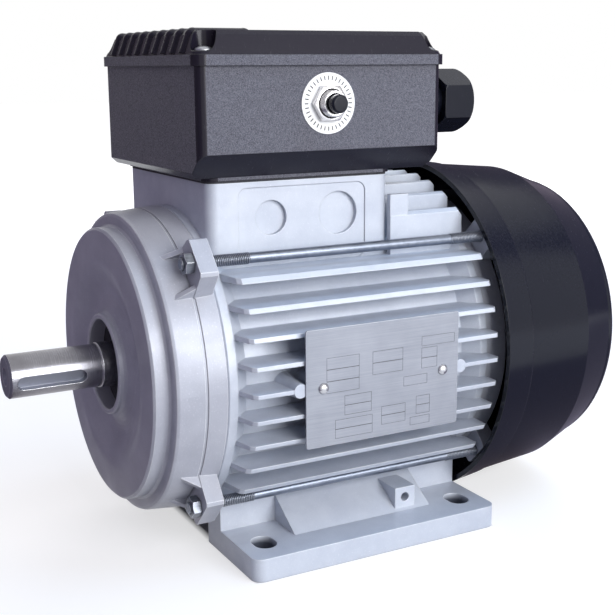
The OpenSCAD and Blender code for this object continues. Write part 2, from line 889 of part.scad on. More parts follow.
module drive_bearing_outer() {
    bearing_outer(drive_bearing, drive_bearing_y);
}

module drive_bearing_inner() {
    bearing_inner(drive_bearing, drive_bearing_y);
}

module drive_bearing_balls() {
    bearing_balls_in_cage(drive_bearing, drive_bearing_y);
}

module fan_bearing_outer() {
    bearing_outer(fan_bearing, fan_bearing_y);
}

module fan_bearing_inner() {
    bearing_inner(fan_bearing, fan_bearing_y);
}

module fan_bearing_balls() {
    bearing_balls_in_cage(fan_bearing, fan_bearing_y);
}

// Rubber lip seal in the mouth of the hub
module shaft_seal() {
    seal_l = 7;
    seal_y = drive_bearing_y - seal_l - 1;
    wall = 2.5;
    web_y = seal_y + 1.6;
    lip_y = seal_y + 4;
    out_r = hub_bore_d / 2 - seat_gap;
    lip_r = journal_d / 2 + run_gap;
    color(rubber_black) turned() polygon([
        [lip_r, lip_y - 1],
        [lip_r + wall, seal_y + 1],
        [out_r - 2 * wall, web_y],
        [out_r - wall, seal_y],
        [out_r, seal_y],
        [out_r, seal_y + seal_l],
        [out_r - wall, seal_y + seal_l],
        [out_r - wall - 1, lip_y],
        [lip_r, lip_y]
    ]);
}

// Wave washer that loads the fan-end bearing
wave_steps = 48;
wave_count = 3;
wave_t = 0.5;
wave_rise = 0.45;

module wave_spring() {
    mid_y = fan_bearing_y + fan_bearing[2] + wave_room / 2;
    in_r = 14;
    out_r = 19;
    ring = [for (i = [0 : wave_steps - 1])
        let (a = i * 360 / wave_steps, y = mid_y + wave_rise * sin(wave_count * a))
        for (c = [[in_r, -1], [out_r, -1], [out_r, 1], [in_r, 1]])
            [c[0] * cos(a), y + c[1] * wave_t / 2, shaft_h + c[0] * sin(a)]];
    sides = [for (i = [0 : wave_steps - 1], k = [0 : 3])
        let (n = (i + 1) % wave_steps, m = (k + 1) % 4)
        for (f = [[4 * i + k, 4 * i + m, 4 * n + m], [4 * i + k, 4 * n + m, 4 * n + k]]) f];
    color(bright_steel) polyhedron(ring, sides);
}

// Fan cowl: a moulded cup with a proud front band and a grille in its end
cowl_step = 0.7;
corner_steps = 6;

function cowl_corner(r, y, rad) =
    [for (i = [0 : corner_steps]) let (a = 90 * i / corner_steps)
        [r - rad + rad * cos(a), y - rad + rad * sin(a)]];

// Outline of the cowl in [radius, y] from an open front, drawn inwards by a wall thickness
function cowl_outline(wall, front_y) = concat(
    [
        [0, front_y],
        [cowl_front_d / 2 - wall, front_y],
        [cowl_band_d / 2 - wall, cowl_front_y + cowl_band_l],
        [cowl_band_d / 2 - cowl_step - wall, cowl_front_y + cowl_band_l + cowl_step],
        [cowl_rear_d / 2 - wall, cowl_rear_y - cowl_taper_l]
    ],
    cowl_corner(cowl_end_d / 2 - wall, cowl_rear_y - wall, cowl_corner_r - wall / 2),
    [[0, cowl_rear_y - wall]]
);

// The cup is flattened underneath, so that it stays above the floor
module cowl_cup(wall, front_y) {
    intersection() {
        turned() polygon(cowl_outline(wall, front_y));
        translate([-cowl_front_d / 2 - over, front_y - over, cowl_flat_z + wall])
            cube([cowl_front_d + 2 * over, cowl_l + 4 * over, 2 * shaft_h + cowl_front_d]);
    }
}

module cowl_shell() {
    difference() {
        cowl_cup(0, cowl_front_y);
        cowl_cup(cowl_wall, cowl_front_y - over);
    }
}

module grille_slots() {
    first_r = 14;
    spoke_w = 3.6;
    along_y(cowl_rear_y - cowl_wall - over, cowl_rear_y + over) difference() {
        for (i = [0 : grille_rings - 1])
            difference() {
                circle(r = first_r + i * grille_pitch + grille_slot);
                circle(r = first_r + i * grille_pitch);
            }
        for (i = [0 : grille_spokes - 1])
            rotate(i * 360 / grille_spokes)
                translate([0, -spoke_w / 2]) square([cowl_rear_d / 2, spoke_w]);
    }
}

// Snap hook inside the cowl, behind a lug of the fan-end shield
hook_w = 2.6;
hook_l = 3.4;
hook_in = 2.6;

module cowl_hook() {
    hook_y = fan_shield_rear_y + seat_gap;
    for (z = [-fan_lug_w / 2, fan_lug_w / 2 - hook_w])
        translate([fan_lug_r - hook_in, hook_y, z]) cube([hook_in + 1.4, hook_l, hook_w]);
}

// Shallow pocket in the wall of the cowl, beside a tie rod nut
nut_room = 0.5;

module nut_pocket() {
    half_w = rod_nut_af / 2 / cos(30) + nut_room;
    pocket_l = rod_nut_h + 1.5 * nut_room;
    translate([rod_r, fan_shield_rear_y - nut_room, -half_w])
        cube([rod_nut_af / 2 + nut_room, pocket_l, 2 * half_w]);
}

module fan_cowl() {
    color(gloss_black) union() {
        difference() {
            cowl_shell();
            grille_slots();
            for (a = rod_angles)
                spoke(a) nut_pocket();
        }
        for (a = rod_angles)
            spoke(a) cowl_hook();
    }
}

// Gasket between the pedestal and the box
module box_gasket() {
    color(rubber_black) upright(pedestal_top_z, pedestal_top_z + gasket_t) difference() {
        rounded_rect(-pedestal_far, pedestal_half, pedestal_front_y, pedestal_rear_y, pedestal_r);
        translate([lead_x, lead_y]) circle(d = lead_hole_d);
        for (x = [-1, 1] * box_screw_x, y = [-1, 1] * box_screw_y)
            translate([x, pedestal_mid_y + y]) circle(d = box_screw_d + 4 * seat_gap);
    }
}

// Capacitor box: a tub with sloping lower sides on a thin base rim
end_bevel = 2.5;
screw_post_d = 9;

// Body of the tub, drawn inwards by a wall thickness
module tub(wall, z0, z1) {
    half = box_half - wall;
    near_x = pedestal_half + base_rim_out - wall;
    far_x = pedestal_far + base_rim_out - wall;
    y0 = box_front_y + wall;
    y1 = box_rear_y - wall;
    intersection() {
        upright(z0, z1) rounded_rect(-half, half, y0, y1, box_r);
        along_y(box_front_y, box_rear_y) translate([0, -shaft_h]) polygon([
            [-far_x, z0], [near_x, z0], [half, box_skirt_z],
            [half, z1], [-half, z1], [-half, box_skirt_z]
        ]);
        along_x(-box_half, box_half) polygon([
            [y0 + end_bevel, z0], [y1 - end_bevel, z0], [y1, z0 + end_bevel],
            [y1, z1], [y0, z1], [y0, z0 + end_bevel]
        ]);
    }
}

module at_lid_screws() {
    for (x = [-1, 1] * (box_half - lid_screw_in), y = [box_front_y + lid_screw_in, box_rear_y - lid_screw_in])
        translate([x, y]) children();
}

module capacitor_box() {
    rim_z = pedestal_top_z + gasket_t;
    floor_top_z = box_floor_z + box_wall;
    color(matte_black) difference() {
        union() {
            difference() {
                tub(0, box_floor_z, box_rim_z);
                tub(box_wall, floor_top_z, box_rim_z + over);
            }
            upright(box_skirt_z, box_rim_z) at_lid_screws() circle(d = screw_post_d);
            upright(rim_z, box_floor_z + over)
                rounded_rect(-pedestal_far - base_rim_out, pedestal_half + base_rim_out,
                             pedestal_front_y - base_rim_out, pedestal_rear_y + base_rim_out,
                             pedestal_r + base_rim_out);
        }
        bar_z(lead_hole_d, lead_x, lead_y, rim_z - over, floor_top_z + over);
        for (x = [-1, 1] * box_screw_x, y = [-1, 1] * box_screw_y)
            bar_z(box_screw_d + 4 * seat_gap, x, pedestal_mid_y + y, rim_z - over, floor_top_z + over);
        upright(box_rim_z - lid_screw_l - 2 * over, box_rim_z + over)
            at_lid_screws() circle(d = lid_screw_d + 2 * seat_gap);
        bar_x(bush_d + 2 * seat_gap, breaker_y, breaker_z, box_half - box_wall - over, box_half + over);
        bar_y(gland_thread_d + 2 * seat_gap, gland_x, gland_z,
              box_rear_y - box_wall - over, box_rear_y + over);
    }
}

// Pan-head screws that hold the box to the pedestal
module box_screws() {
    head_z = box_floor_z + box_wall;
    color(zinc_plate) for (x = [-1, 1] * box_screw_x, y = [-1, 1] * box_screw_y)
        union() {
            bar_z(box_screw_d, x, pedestal_mid_y + y, pedestal_top_z - box_screw_l, head_z + over);
            bar_z(2 * box_screw_d, x, pedestal_mid_y + y, head_z, head_z + screw_head_h);
        }
}

// Gasket on the rim of the box
module lid_gasket() {
    wall = box_wall - 4 * seat_gap;
    color(rubber_black) upright(box_rim_z, box_rim_z + gasket_t) difference() {
        union() {
            difference() {
                rounded_rect(-box_half, box_half, box_front_y, box_rear_y, box_r);
                rounded_rect(wall - box_half, box_half - wall, box_front_y + wall, box_rear_y - wall, box_r);
            }
            at_lid_screws() circle(d = screw_post_d);
        }
        at_lid_screws() circle(d = lid_screw_d + 4 * seat_gap);
    }
}

// Lid: a shallow cover with an overhanging lip, ribs on its drive end and screw pockets in its corners
lid_edge = 1.8;
lid_foot_out = 0.8;
lid_foot_corner = 5;
lid_top_corner = 7;
crown_fn = 32;
level_t = 0.02;
pocket_d = 10;
pocket_wall = 2;
rib_r = 3.2;
rib_out = 1;
rib_run = 22;
rib_end_r = rib_r + 0.1;

// Thin level of the crown, drawn inwards from the sides of the box
module crown_level(z, inset, r) {
    half = box_half - inset;
    upright(z - level_t, z)
        rounded_rect(-half, half, box_front_y + inset, box_rear_y - inset, r, $fn = crown_fn);
}

// Crown of the lid, drawn inwards by a wall thickness
module lid_crown(wall, z0) {
    top = lid_top_z - wall;
    hull() {
        crown_level(z0, wall - lid_foot_out, lid_foot_corner);
        crown_level(top - lid_edge, wall + lid_draft, lid_top_corner);
        crown_level(top, wall + lid_draft + lid_edge, lid_top_corner);
    }
}

// Half-round rib up the drive end of the lid and along its top
module lid_rib(x) {
    sink = rib_r - rib_out;
    foot_y = box_front_y + sink - lid_foot_out;
    foot_z = lip_top_z - over / 4;
    bend_y = box_front_y + sink + lid_draft;
    bend_z = lid_top_z - sink;
    lean = atan((bend_y - foot_y) / (bend_z - foot_z));
    translate([x, foot_y, foot_z])
        rotate([-lean, 0, 0]) cylinder(r = rib_r, h = (bend_z - foot_z) / cos(lean));
    bar_y(2 * rib_r, x, bend_z, bend_y, bend_y + rib_run);
    for (y = [bend_y, bend_y + rib_run])
        translate([x, y, bend_z]) sphere(rib_end_r);
}

module box_lid() {
    deck_z = box_rim_z + gasket_t;
    color(matte_black) difference() {
        union() {
            lid_crown(0, deck_z);
            upright(lip_z, lip_top_z)
                rounded_rect(-box_half - lip_out, box_half + lip_out, box_front_y - lip_out,
                             box_rear_y + lip_out, box_r + lip_out);
            for (i = [0 : lid_ribs - 1])
                lid_rib((i - (lid_ribs - 1) / 2) * lid_rib_pitch);
        }
        upright(lip_z - over, deck_z)
            rounded_rect(-box_half - seat_gap, box_half + seat_gap, box_front_y - seat_gap,
                         box_rear_y + seat_gap, box_r);
        difference() {
            lid_crown(box_wall, deck_z - over);
            upright(deck_z - over, lid_top_z) at_lid_screws() circle(d = pocket_d + 2 * pocket_wall);
        }
        upright(deck_z - over, lid_top_z + over) at_lid_screws() circle(d = lid_screw_d + 4 * seat_gap);
        upright(deck_z + lid_screw_seat, lid_top_z + over) at_lid_screws() circle(d = pocket_d);
    }
}

module lid_screws() {
    seat_z = box_rim_z + gasket_t + lid_screw_seat;
    color(zinc_plate) union() {
        upright(box_rim_z - lid_screw_l, seat_z + over) at_lid_screws() circle(d = lid_screw_d);
        upright(seat_z, seat_z + screw_head_h) at_lid_screws() circle(d = 2 * lid_screw_d - 4 * seat_gap);
    }
}

// Run capacitor: a can with two blade terminals, held to the floor of the box by a strap
can_d = 40;
can_l = 86;
can_x = -29;
can_rise = screw_head_h + 0.8;
can_front_y = box_front_y + 14;
can_z = box_floor_z + box_wall + can_rise + can_d / 2;
can_edge = 2;
can_crimp = 3;
tab = [0.8, 9, 6.3];
tab_gap = 14;
strap_t = 1;
strap_w = 12;
strap_foot = 24;
strap_y = can_front_y + can_l / 2;

module capacitor() {
    color(pale_plastic) union() {
        translate([can_x, can_front_y, can_z]) rotate([-90, 0, 0]) rotate_extrude() polygon([
            [0, 0], [can_d / 2 - can_edge, 0], [can_d / 2, can_edge], [can_d / 2, can_l - can_crimp],
            [can_d / 2 - can_edge, can_l - can_crimp], [can_d / 2 - can_edge, can_l], [0, can_l]
        ]);
        for (x = [-1, 1] * tab_gap / 2)
            translate([can_x + x - tab[0] / 2, can_front_y + can_l - over, can_z - tab[2] / 2])
                cube(tab);
    }
}

module capacitor_clip() {
    foot_z = box_floor_z + box_wall;
    strap_r = can_d / 2 + seat_gap;
    color(zinc_plate) difference() {
        union() {
            bar_y(2 * (strap_r + strap_t), can_x, can_z, strap_y - strap_w / 2, strap_y + strap_w / 2);
            translate([can_x - strap_foot / 2, strap_y - strap_w / 2, foot_z])
                cube([strap_foot, strap_w, can_rise + can_edge]);
        }
        bar_y(2 * strap_r, can_x, can_z, strap_y - strap_w, strap_y + strap_w);
    }
}

// Terminal board with two rows of studs
board_x = 4;
board_w = 22;
board_front_y = box_front_y + 26;
board_l = 46;
board_t = 6;
board_z = box_floor_z + box_wall;
stud_d = 4;
stud_pitch = 16;
stud_in = 5.5;
stud_front = 7;
stud_sink = 4.5;
stud_out = 9;
barrier_t = 2;
barrier_h = 5;
stud_nut_af = 7;
stud_nut_h = 3.2;

stud_foot_z = board_z + board_t - stud_sink;
barrier_y = board_front_y + stud_front + (stud_pitch - barrier_t) / 2;

module at_studs() {
    for (x = [stud_in, board_w - stud_in], i = [0 : 2])
        translate([board_x + x, board_front_y + stud_front + i * stud_pitch, 0]) children();
}

module terminal_board() {
    color(gloss_black) difference() {
        union() {
            translate([board_x, board_front_y, board_z]) cube([board_w, board_l, board_t]);
            for (i = [0, 1])
                translate([board_x, barrier_y + i * stud_pitch, board_z])
                    cube([board_w, barrier_t, board_t + barrier_h]);
        }
        at_studs() bar_z(stud_d + 2 * seat_gap, 0, 0, stud_foot_z, board_z + board_t + over);
    }
}

module terminal_studs() {
    color(brass_tone) at_studs() union() {
        bar_z(stud_d, 0, 0, stud_foot_z + seat_gap, board_z + board_t + stud_out);
        upright(board_z + board_t + seat_gap, board_z + board_t + stud_nut_h) hexagon(stud_nut_af);
    }
}

// Thermal circuit breaker: its case inside the box, a threaded bush, a nut and a label ring
label_t = 0.5;
bush_nut_t = 3;
bush_out = 6.6;
case_depth = 28;
case_w = 15;
case_h = 30;
button_bore_l = 12;
button_inner_l = 7;
button_edge = 0.8;

module breaker_body() {
    inner_x = box_half - box_wall;
    color(bright_steel) difference() {
        union() {
            translate([inner_x - case_depth, breaker_y - case_w / 2, breaker_z - case_h / 2])
                cube([case_depth - seat_gap, case_w, case_h]);
            bar_x(bush_d, breaker_y, breaker_z, inner_x - over, breaker_face_x + bush_out);
        }
        bar_x(button_bore_d, breaker_y, breaker_z, inner_x - button_bore_l,
              breaker_face_x + bush_out + over);
    }
}

module breaker_nut() {
    face_x = breaker_face_x + label_t;
    color(bright_steel) translate([face_x, breaker_y, breaker_z]) rotate([0, 90, 0])
        linear_extrude(bush_nut_t) difference() {
            hexagon(bush_nut_af);
            circle(d = bush_d + 2 * seat_gap);
        }
}

module breaker_label() {
    color(label_white) translate([breaker_face_x, breaker_y, breaker_z]) rotate([0, 90, 0])
        linear_extrude(label_t) difference() {
            circle(d = label_d);
            circle(d = bush_d + 2 * seat_gap);
        }
}

module reset_button() {
    tip_x = breaker_face_x + button_out;
    inner_x = box_half - box_wall - button_inner_l;
    length = tip_x - inner_x;
    color(gloss_black) translate([inner_x, breaker_y, breaker_z]) rotate([0, 90, 0])
        rotate_extrude() polygon([
            [0, 0], [button_d / 2, 0], [button_d / 2, length - button_edge],
            [button_d / 2 - button_edge, length], [0, length]
        ]);
}

// Cable gland: a threaded body, a locknut inside the box, a rubber seal and a domed nut
gland_wall = 4;
neck_end_y = gland_nut_y + gland_nut_grip;
locknut_t = 5;
locknut_af = gland_af + 1;
gland_seal_l = 8;
gland_seal_d = gland_neck_d - 2;
gland_mouth_d = gland_hole_d + 1.5;
dome_round = 4.5;
gland_nut_edge = 0.8;

module gland_body() {
    color(gloss_black) difference() {
        union() {
            bar_y(gland_thread_d, gland_x, gland_z, box_rear_y - gland_inner_l, box_rear_y + over);
            translate([gland_x, box_rear_y + gland_hex_l, gland_z]) rotate([90, 0, 0])
                linear_extrude(gland_hex_l) hexagon(gland_af);
            bar_y(gland_neck_d, gland_x, gland_z, box_rear_y, neck_end_y);
        }
        bar_y(gland_hole_d + gland_wall, gland_x, gland_z,
              box_rear_y - gland_inner_l - over, neck_end_y + over);
    }
}

module gland_locknut() {
    nut_y = box_rear_y - box_wall - seat_gap;
    color(gloss_black) translate([gland_x, nut_y, gland_z]) rotate([90, 0, 0])
        linear_extrude(locknut_t) difference() {
            hexagon(locknut_af);
            circle(d = gland_thread_d + 2 * seat_gap);
        }
}

module gland_seal() {
    color(rubber_black) translate([gland_x, neck_end_y + seat_gap, gland_z]) rotate([-90, 0, 0])
        linear_extrude(gland_seal_l) difference() {
            circle(d = gland_seal_d);
            circle(d = gland_hole_d);
        }
}

// Domed nut: a hexagon whose end is rounded off by a turned dome
module gland_nut() {
    corner_r = gland_af / 2 / cos(30);
    end_y = gland_nut_l + gland_dome_l;
    dome = [for (i = [0 : corner_steps]) let (a = 90 * i / corner_steps)
        [corner_r - dome_round * (1 - cos(a)), gland_nut_l + gland_dome_l * sin(a)]];
    color(gloss_black) translate([gland_x, gland_nut_y, gland_z]) rotate([-90, 0, 0]) difference() {
        intersection() {
            linear_extrude(end_y) hexagon(gland_af);
            rotate_extrude() polygon(concat(
                [[0, 0], [corner_r - gland_nut_edge, 0], [corner_r, gland_nut_edge]],
                dome,
                [[0, end_y]]
            ));
        }
        translate([0, 0, -over]) cylinder(d = gland_neck_d + 4 * seat_gap, h = gland_nut_l + over);
        cylinder(d = gland_mouth_d, h = end_y + over);
    }
}

// Nameplate on the side fins, with two drive rivets
module nameplate() {
    half_l = plate_l / 2;
    half_h = plate_h / 2;
    color(plate_silver) along_x(plate_x, plate_x + plate_t) difference() {
        rounded_rect(-half_l, half_l, fin_mid_z - half_h, fin_mid_z + half_h, 1);
        for (y = [-1, 1] * rivet_pitch / 2)
            translate([y, fin_mid_z]) circle(d = rivet_d + 2 * seat_gap);
    }
}

module nameplate_rivets() {
    head_r = 2.4;
    head_h = 1.6;
    shank_l = plate_t + rivet_l;
    dome = [for (i = [0 : corner_steps]) let (a = 90 * i / corner_steps)
        [head_r * cos(a), head_h * sin(a)]];
    color(zinc_plate) for (y = [-1, 1] * rivet_pitch / 2)
        translate([plate_x + plate_t, y, fin_mid_z]) rotate([0, 90, 0])
            rotate_extrude() polygon(concat(
                [[0, -shank_l], [rivet_d / 2, -shank_l], [rivet_d / 2, 0]],
                dome
            ));
}

// Shaft: turned in steps, with a keyway and a tapped centre hole in its drive end
end_chamfer = 1;
core_chamfer = 1.6;
key_from_end = 3;
shoulder_edge = 0.4;
fan_step = 6;
circlip_groove = 0.6;
circlip_w = 1.2;

module shaft() {
    end_r = shaft_d / 2;
    journal_r = journal_d / 2;
    seat_r = rotor_seat_d / 2;
    fan_journal_r = fan_journal_d / 2;
    fan_r = fan_seat_d / 2;
    drive_stop_y = drive_bearing_y + drive_bearing[2];
    fan_step_y = fan_bearing_y + fan_bearing[2] + fan_step;
    key_y = shaft_end_y + key_from_end + key_l / 2;
    groove_r = fan_r - circlip_groove;
    color(bright_steel) difference() {
        turned() polygon([
            [0, shaft_end_y],
            [end_r - end_chamfer, shaft_end_y],
            [end_r, shaft_end_y + end_chamfer],
            [end_r, shoulder_y],
            [journal_r - shoulder_edge / 2, shoulder_y],
            [journal_r, shoulder_y + shoulder_edge],
            [journal_r, drive_stop_y],
            [seat_r, drive_stop_y],
            [seat_r, fan_bearing_y],
            [fan_journal_r, fan_bearing_y],
            [fan_journal_r, fan_step_y],
            [fan_r, fan_step_y],
            [fan_r, circlip_y],
            [groove_r, circlip_y],
            [groove_r, circlip_y + circlip_w],
            [fan_r, circlip_y + circlip_w],
            [fan_r, shaft_rear_y - end_chamfer],
            [fan_r - end_chamfer, shaft_rear_y],
            [0, shaft_rear_y]
        ]);
        spoke(key_angle) translate([end_r - key_depth, key_y, 0]) rotate([90, 0, 90])
            linear_extrude(key_depth + over) round_slot(key_l, key_w);
        bar_y(end_tap_d, 0, shaft_h, shaft_end_y - over, shaft_end_y + end_tap_l);
        translate([0, shaft_end_y, shaft_h]) rotate([-90, 0, 0])
            cylinder(d1 = end_tap_d + 2 * core_chamfer, d2 = end_tap_d, h = core_chamfer * 1.2);
    }
}

// Rotor: laminations on the shaft, with a cast cage of bars and end rings
bar_d = 5;
bar_ring_r = 29.5;
cage_ring_l = 9;
cage_ring_out = 3.8;
cage_ring_in = 7;

module rotor_core() {
    rotor_r = stator_bore_d / 2 - air_gap;
    color(core_steel) along_y(-stack_l / 2, stack_l / 2) difference() {
        circle(r = rotor_r);
        circle(d = rotor_seat_d);
        for (i = [0 : rotor_bars - 1])
            rotate(i * 360 / rotor_bars) translate([bar_ring_r, 0]) circle(d = bar_d + 2 * seat_gap);
    }
}

module rotor_cage() {
    end_y = stack_l / 2 + seat_gap;
    color(cast_silver) union() {
        for (y = [-end_y - cage_ring_l, end_y])
            along_y(y, y + cage_ring_l) difference() {
                circle(r = bar_ring_r + cage_ring_out);
                circle(r = bar_ring_r - cage_ring_in);
            }
        along_y(-end_y - over, end_y + over) for (i = [0 : rotor_bars - 1])
            rotate(i * 360 / rotor_bars) translate([bar_ring_r, 0]) circle(d = bar_d);
    }
}

// Cooling fan: a disc with straight radial blades that work in either direction
fan_hub_d = 30;
fan_disc_t = 2.4;
blade_t = 2.2;
blade_in_r = 22;
blade_rise = 8;
blade_corner = 5;

module cooling_fan() {
    blade_out_r = fan_d / 2;
    color(matte_black) difference() {
        union() {
            along_y(fan_disc_y, fan_disc_y + fan_disc_t) circle(d = fan_d);
            along_y(fan_disc_y, circlip_y) circle(d = fan_hub_d);
            for (i = [0 : fan_blades - 1])
                spoke((i + 0.5) * 360 / fan_blades) translate([0, fan_disc_y, -blade_t / 2])
                    linear_extrude(blade_t) polygon([
                        [0, 0], [blade_out_r, 0], [blade_out_r, blade_l - blade_corner],
                        [blade_out_r - blade_corner, blade_l], [blade_in_r + blade_rise, blade_l],
                        [blade_in_r, fan_hub_l - blade_rise], [0, fan_hub_l - blade_rise]
                    ]);
        }
        along_y(fan_disc_y - over, circlip_y + over) circle(d = fan_seat_d);
    }
}

module fan_circlip() {
    ring_r = fan_seat_d / 2 + 2.4;
    mouth = 5;
    color(bright_steel) along_y(circlip_y + seat_gap, circlip_y + circlip_w - seat_gap) difference() {
        circle(r = ring_r);
        circle(r = fan_seat_d / 2 - circlip_groove + run_gap);
        rotate(-90) translate([0, -mouth / 2]) square([ring_r + over, mouth]);
    }
}

frame_housing();
drive_end_shield();
fan_end_shield();
tie_rods();
tie_rod_nuts();
stator_core();
winding_drive_end();
winding_fan_end();
drive_bearing_outer();
fan_bearing_outer();
shaft_seal();
wave_spring();
fan_cowl();
box_gasket();
capacitor_box();
box_screws();
lid_gasket();
box_lid();
lid_screws();
capacitor();
capacitor_clip();
terminal_board();
terminal_studs();
breaker_body();
breaker_nut();
breaker_label();
gland_body();
gland_locknut();
gland_seal();
gland_nut();
nameplate();
nameplate_rivets();
shaft();
rotor_core();
rotor_cage();
drive_bearing_inner();
fan_bearing_inner();
cooling_fan();
fan_circlip();
drive_bearing_balls();
fan_bearing_balls();
reset_button();
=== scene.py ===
import math

import bpy
from mathutils import Matrix, Vector


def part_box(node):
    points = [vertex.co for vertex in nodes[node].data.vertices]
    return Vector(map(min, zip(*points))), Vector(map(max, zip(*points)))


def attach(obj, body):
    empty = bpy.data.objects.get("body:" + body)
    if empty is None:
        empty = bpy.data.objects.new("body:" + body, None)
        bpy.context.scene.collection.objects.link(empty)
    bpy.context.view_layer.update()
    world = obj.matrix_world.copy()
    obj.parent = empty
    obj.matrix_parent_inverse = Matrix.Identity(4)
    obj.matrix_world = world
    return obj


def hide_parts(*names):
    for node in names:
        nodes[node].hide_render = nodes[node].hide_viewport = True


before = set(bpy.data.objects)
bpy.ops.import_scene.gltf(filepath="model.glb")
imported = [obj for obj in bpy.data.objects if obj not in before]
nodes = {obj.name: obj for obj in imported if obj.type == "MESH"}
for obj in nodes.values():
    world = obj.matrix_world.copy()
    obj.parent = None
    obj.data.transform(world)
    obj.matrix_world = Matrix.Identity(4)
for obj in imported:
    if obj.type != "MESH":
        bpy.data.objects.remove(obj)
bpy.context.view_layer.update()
scene = bpy.context.scene

# The shaft is one bar of steel, turned in steps and ground on the drive end.
# It is bare and lightly oiled, so fine turning rings and soft stains show on it.
# Its keyway and the tap in its end are cut last, and the cut faces stay duller.
MM = 0.001
AXIS_HEIGHT = 80 * MM
SHAFT_D = 19 * MM
GROUND_SKIN = 0.2 * MM
RUBBED_STEEL = (0.80, 0.80, 0.81)
MILLED_STEEL = (0.25, 0.26, 0.30)
MILLED_ROUGH = 0.45


def wire(tree, socket, value):
    """Links a socket to an input, or sets the input to a plain value."""
    if isinstance(value, bpy.types.NodeSocket):
        tree.links.new(value, socket)
    elif socket.type == "RGBA":
        socket.default_value = (*value, 1)
    else:
        socket.default_value = value


def place_node(tree, kind, settings=None, **inputs):
    """New node: settings are its options, inputs are values or sockets by input name."""
    made = tree.nodes.new("ShaderNode" + kind)
    for option, choice in (settings or {}).items():
        setattr(made, option, choice)
    for name, value in inputs.items():
        wire(tree, made.inputs[name.replace("_", " ")], value)
    return made


def reckon(tree, operation, *values):
    """Result of a math node on values or sockets."""
    made = place_node(tree, "Math", {"operation": operation})
    for socket, value in zip(made.inputs, values):
        wire(tree, socket, value)
    return made.outputs[0]


def weigh(tree, first, first_share, second, second_share):
    """Sum of two values, each by its share."""
    return reckon(
        tree, "ADD",
        reckon(tree, "MULTIPLY", first, first_share), reckon(tree, "MULTIPLY", second, second_share),
    )


def sum_of_squares(tree, first, second):
    """Square of the distance that two offsets make."""
    return reckon(
        tree, "ADD", reckon(tree, "MULTIPLY", first, first), reckon(tree, "MULTIPLY", second, second)
    )


def spread(tree, value, low, high, start=0.0, end=1.0):
    """Maps a value from low..high to start..end and holds it there."""
    made = place_node(
        tree, "MapRange", Value=value, From_Min=low, From_Max=high, To_Min=start, To_Max=end
    )
    return made.outputs[0]


def tint(tree, amount, first, second):
    """Colour between two colours."""
    made = place_node(tree, "Mix", {"data_type": "RGBA"})
    for index, value in ((0, amount), (6, first), (7, second)):
        wire(tree, made.inputs[index], value)
    return made.outputs[2]


def noise(tree, place, per_metre, detail=3.0, roughness=0.55):
    """Smooth random value over the surface, from 0 to 1."""
    made = place_node(
        tree, "TexNoise", Vector=place, Scale=per_metre, Detail=detail, Roughness=roughness
    )
    return made.outputs["Fac"]


def surface_place(tree):
    """Object coordinates, in metres."""
    return place_node(tree, "TexCoord").outputs["Object"]


def scaled_place(tree, scale):
    """Object coordinates with a scale for each axis, for patterns that run along one of them."""
    return place_node(tree, "Mapping", Vector=surface_place(tree), Scale=scale).outputs[0]


def split(tree, vector):
    """X, Y and Z of a vector."""
    return place_node(tree, "SeparateXYZ", Vector=vector).outputs


def effect(name, inputs, outputs):
    """Empty shader node group with value inputs, and its two end nodes."""
    group = bpy.data.node_groups.new(name, "ShaderNodeTree")
    for label, start in inputs.items():
        entry = group.interface.new_socket(label, in_out="INPUT", socket_type="NodeSocketFloat")
        entry.default_value = start
    for label, kind in outputs.items():
        group.interface.new_socket(label, in_out="OUTPUT", socket_type="NodeSocket" + kind)
    return group, group.nodes.new("NodeGroupInput"), group.nodes.new("NodeGroupOutput")


def use(tree, group, **inputs):
    """A group placed in a material."""
    return place_node(tree, "Group", {"node_tree": group}, **inputs).outputs


def empty_tree(owner):
    """Node tree of a material or world, cleared."""
    owner.use_nodes = True
    owner.node_tree.nodes.clear()
    return owner.node_tree


def finish_of(name, **constants):
    """New material with one Principled shader: its tree and the shader."""
    material = bpy.data.materials.new(name)
    tree = empty_tree(material)
    shader = place_node(tree, "BsdfPrincipled", **constants)
    place_node(tree, "OutputMaterial", Surface=shader.outputs[0])
    return material, tree, shader


def bump(tree, shader, height, depth, normal=None):
    """Raises a surface by a height pattern of some depth in metres."""
    made = place_node(tree, "Bump", Strength=1.0, Distance=depth, Height=height)
    if normal is not None:
        wire(tree, made.inputs["Normal"], normal)
    wire(tree, shader.inputs["Normal"], made.outputs[0])


def dress(material, *names):
    """Gives CAD nodes a material."""
    for name in names:
        nodes[name].data.materials.clear()
        nodes[name].data.materials.append(material)


# Corners of a real piece are never quite sharp: they are rounded over a small radius and rubbed bright,
# and on the castings the bright edge is partly a painted highlight. Hollows are found by ambient occlusion,
# and the materials darken them as painted shade.
edge_wear_and_shade, edge_group_in, edge_group_out = effect(
    "edge_wear_and_shade",
    {"Radius": 0.5 * MM, "Reach": 3 * MM},
    {"Normal": "Vector", "Edge": "Float", "HollowShade": "Float"},
)
rounded = place_node(edge_wear_and_shade, "Bevel", {"samples": 6}, Radius=edge_group_in.outputs["Radius"])
flat = place_node(edge_wear_and_shade, "NewGeometry")
bend = place_node(edge_wear_and_shade, "VectorMath", {"operation": "DOT_PRODUCT"})
wire(edge_wear_and_shade, bend.inputs[0], rounded.outputs[0])
wire(edge_wear_and_shade, bend.inputs[1], flat.outputs["Normal"])
openness = place_node(
    edge_wear_and_shade, "AmbientOcclusion", {"samples": 4}, Distance=edge_group_in.outputs["Reach"]
).outputs["AO"]
turned_away = spread(edge_wear_and_shade, bend.outputs["Value"], 0.995, 0.90)
wire(edge_wear_and_shade, edge_group_out.inputs["Normal"], rounded.outputs[0])
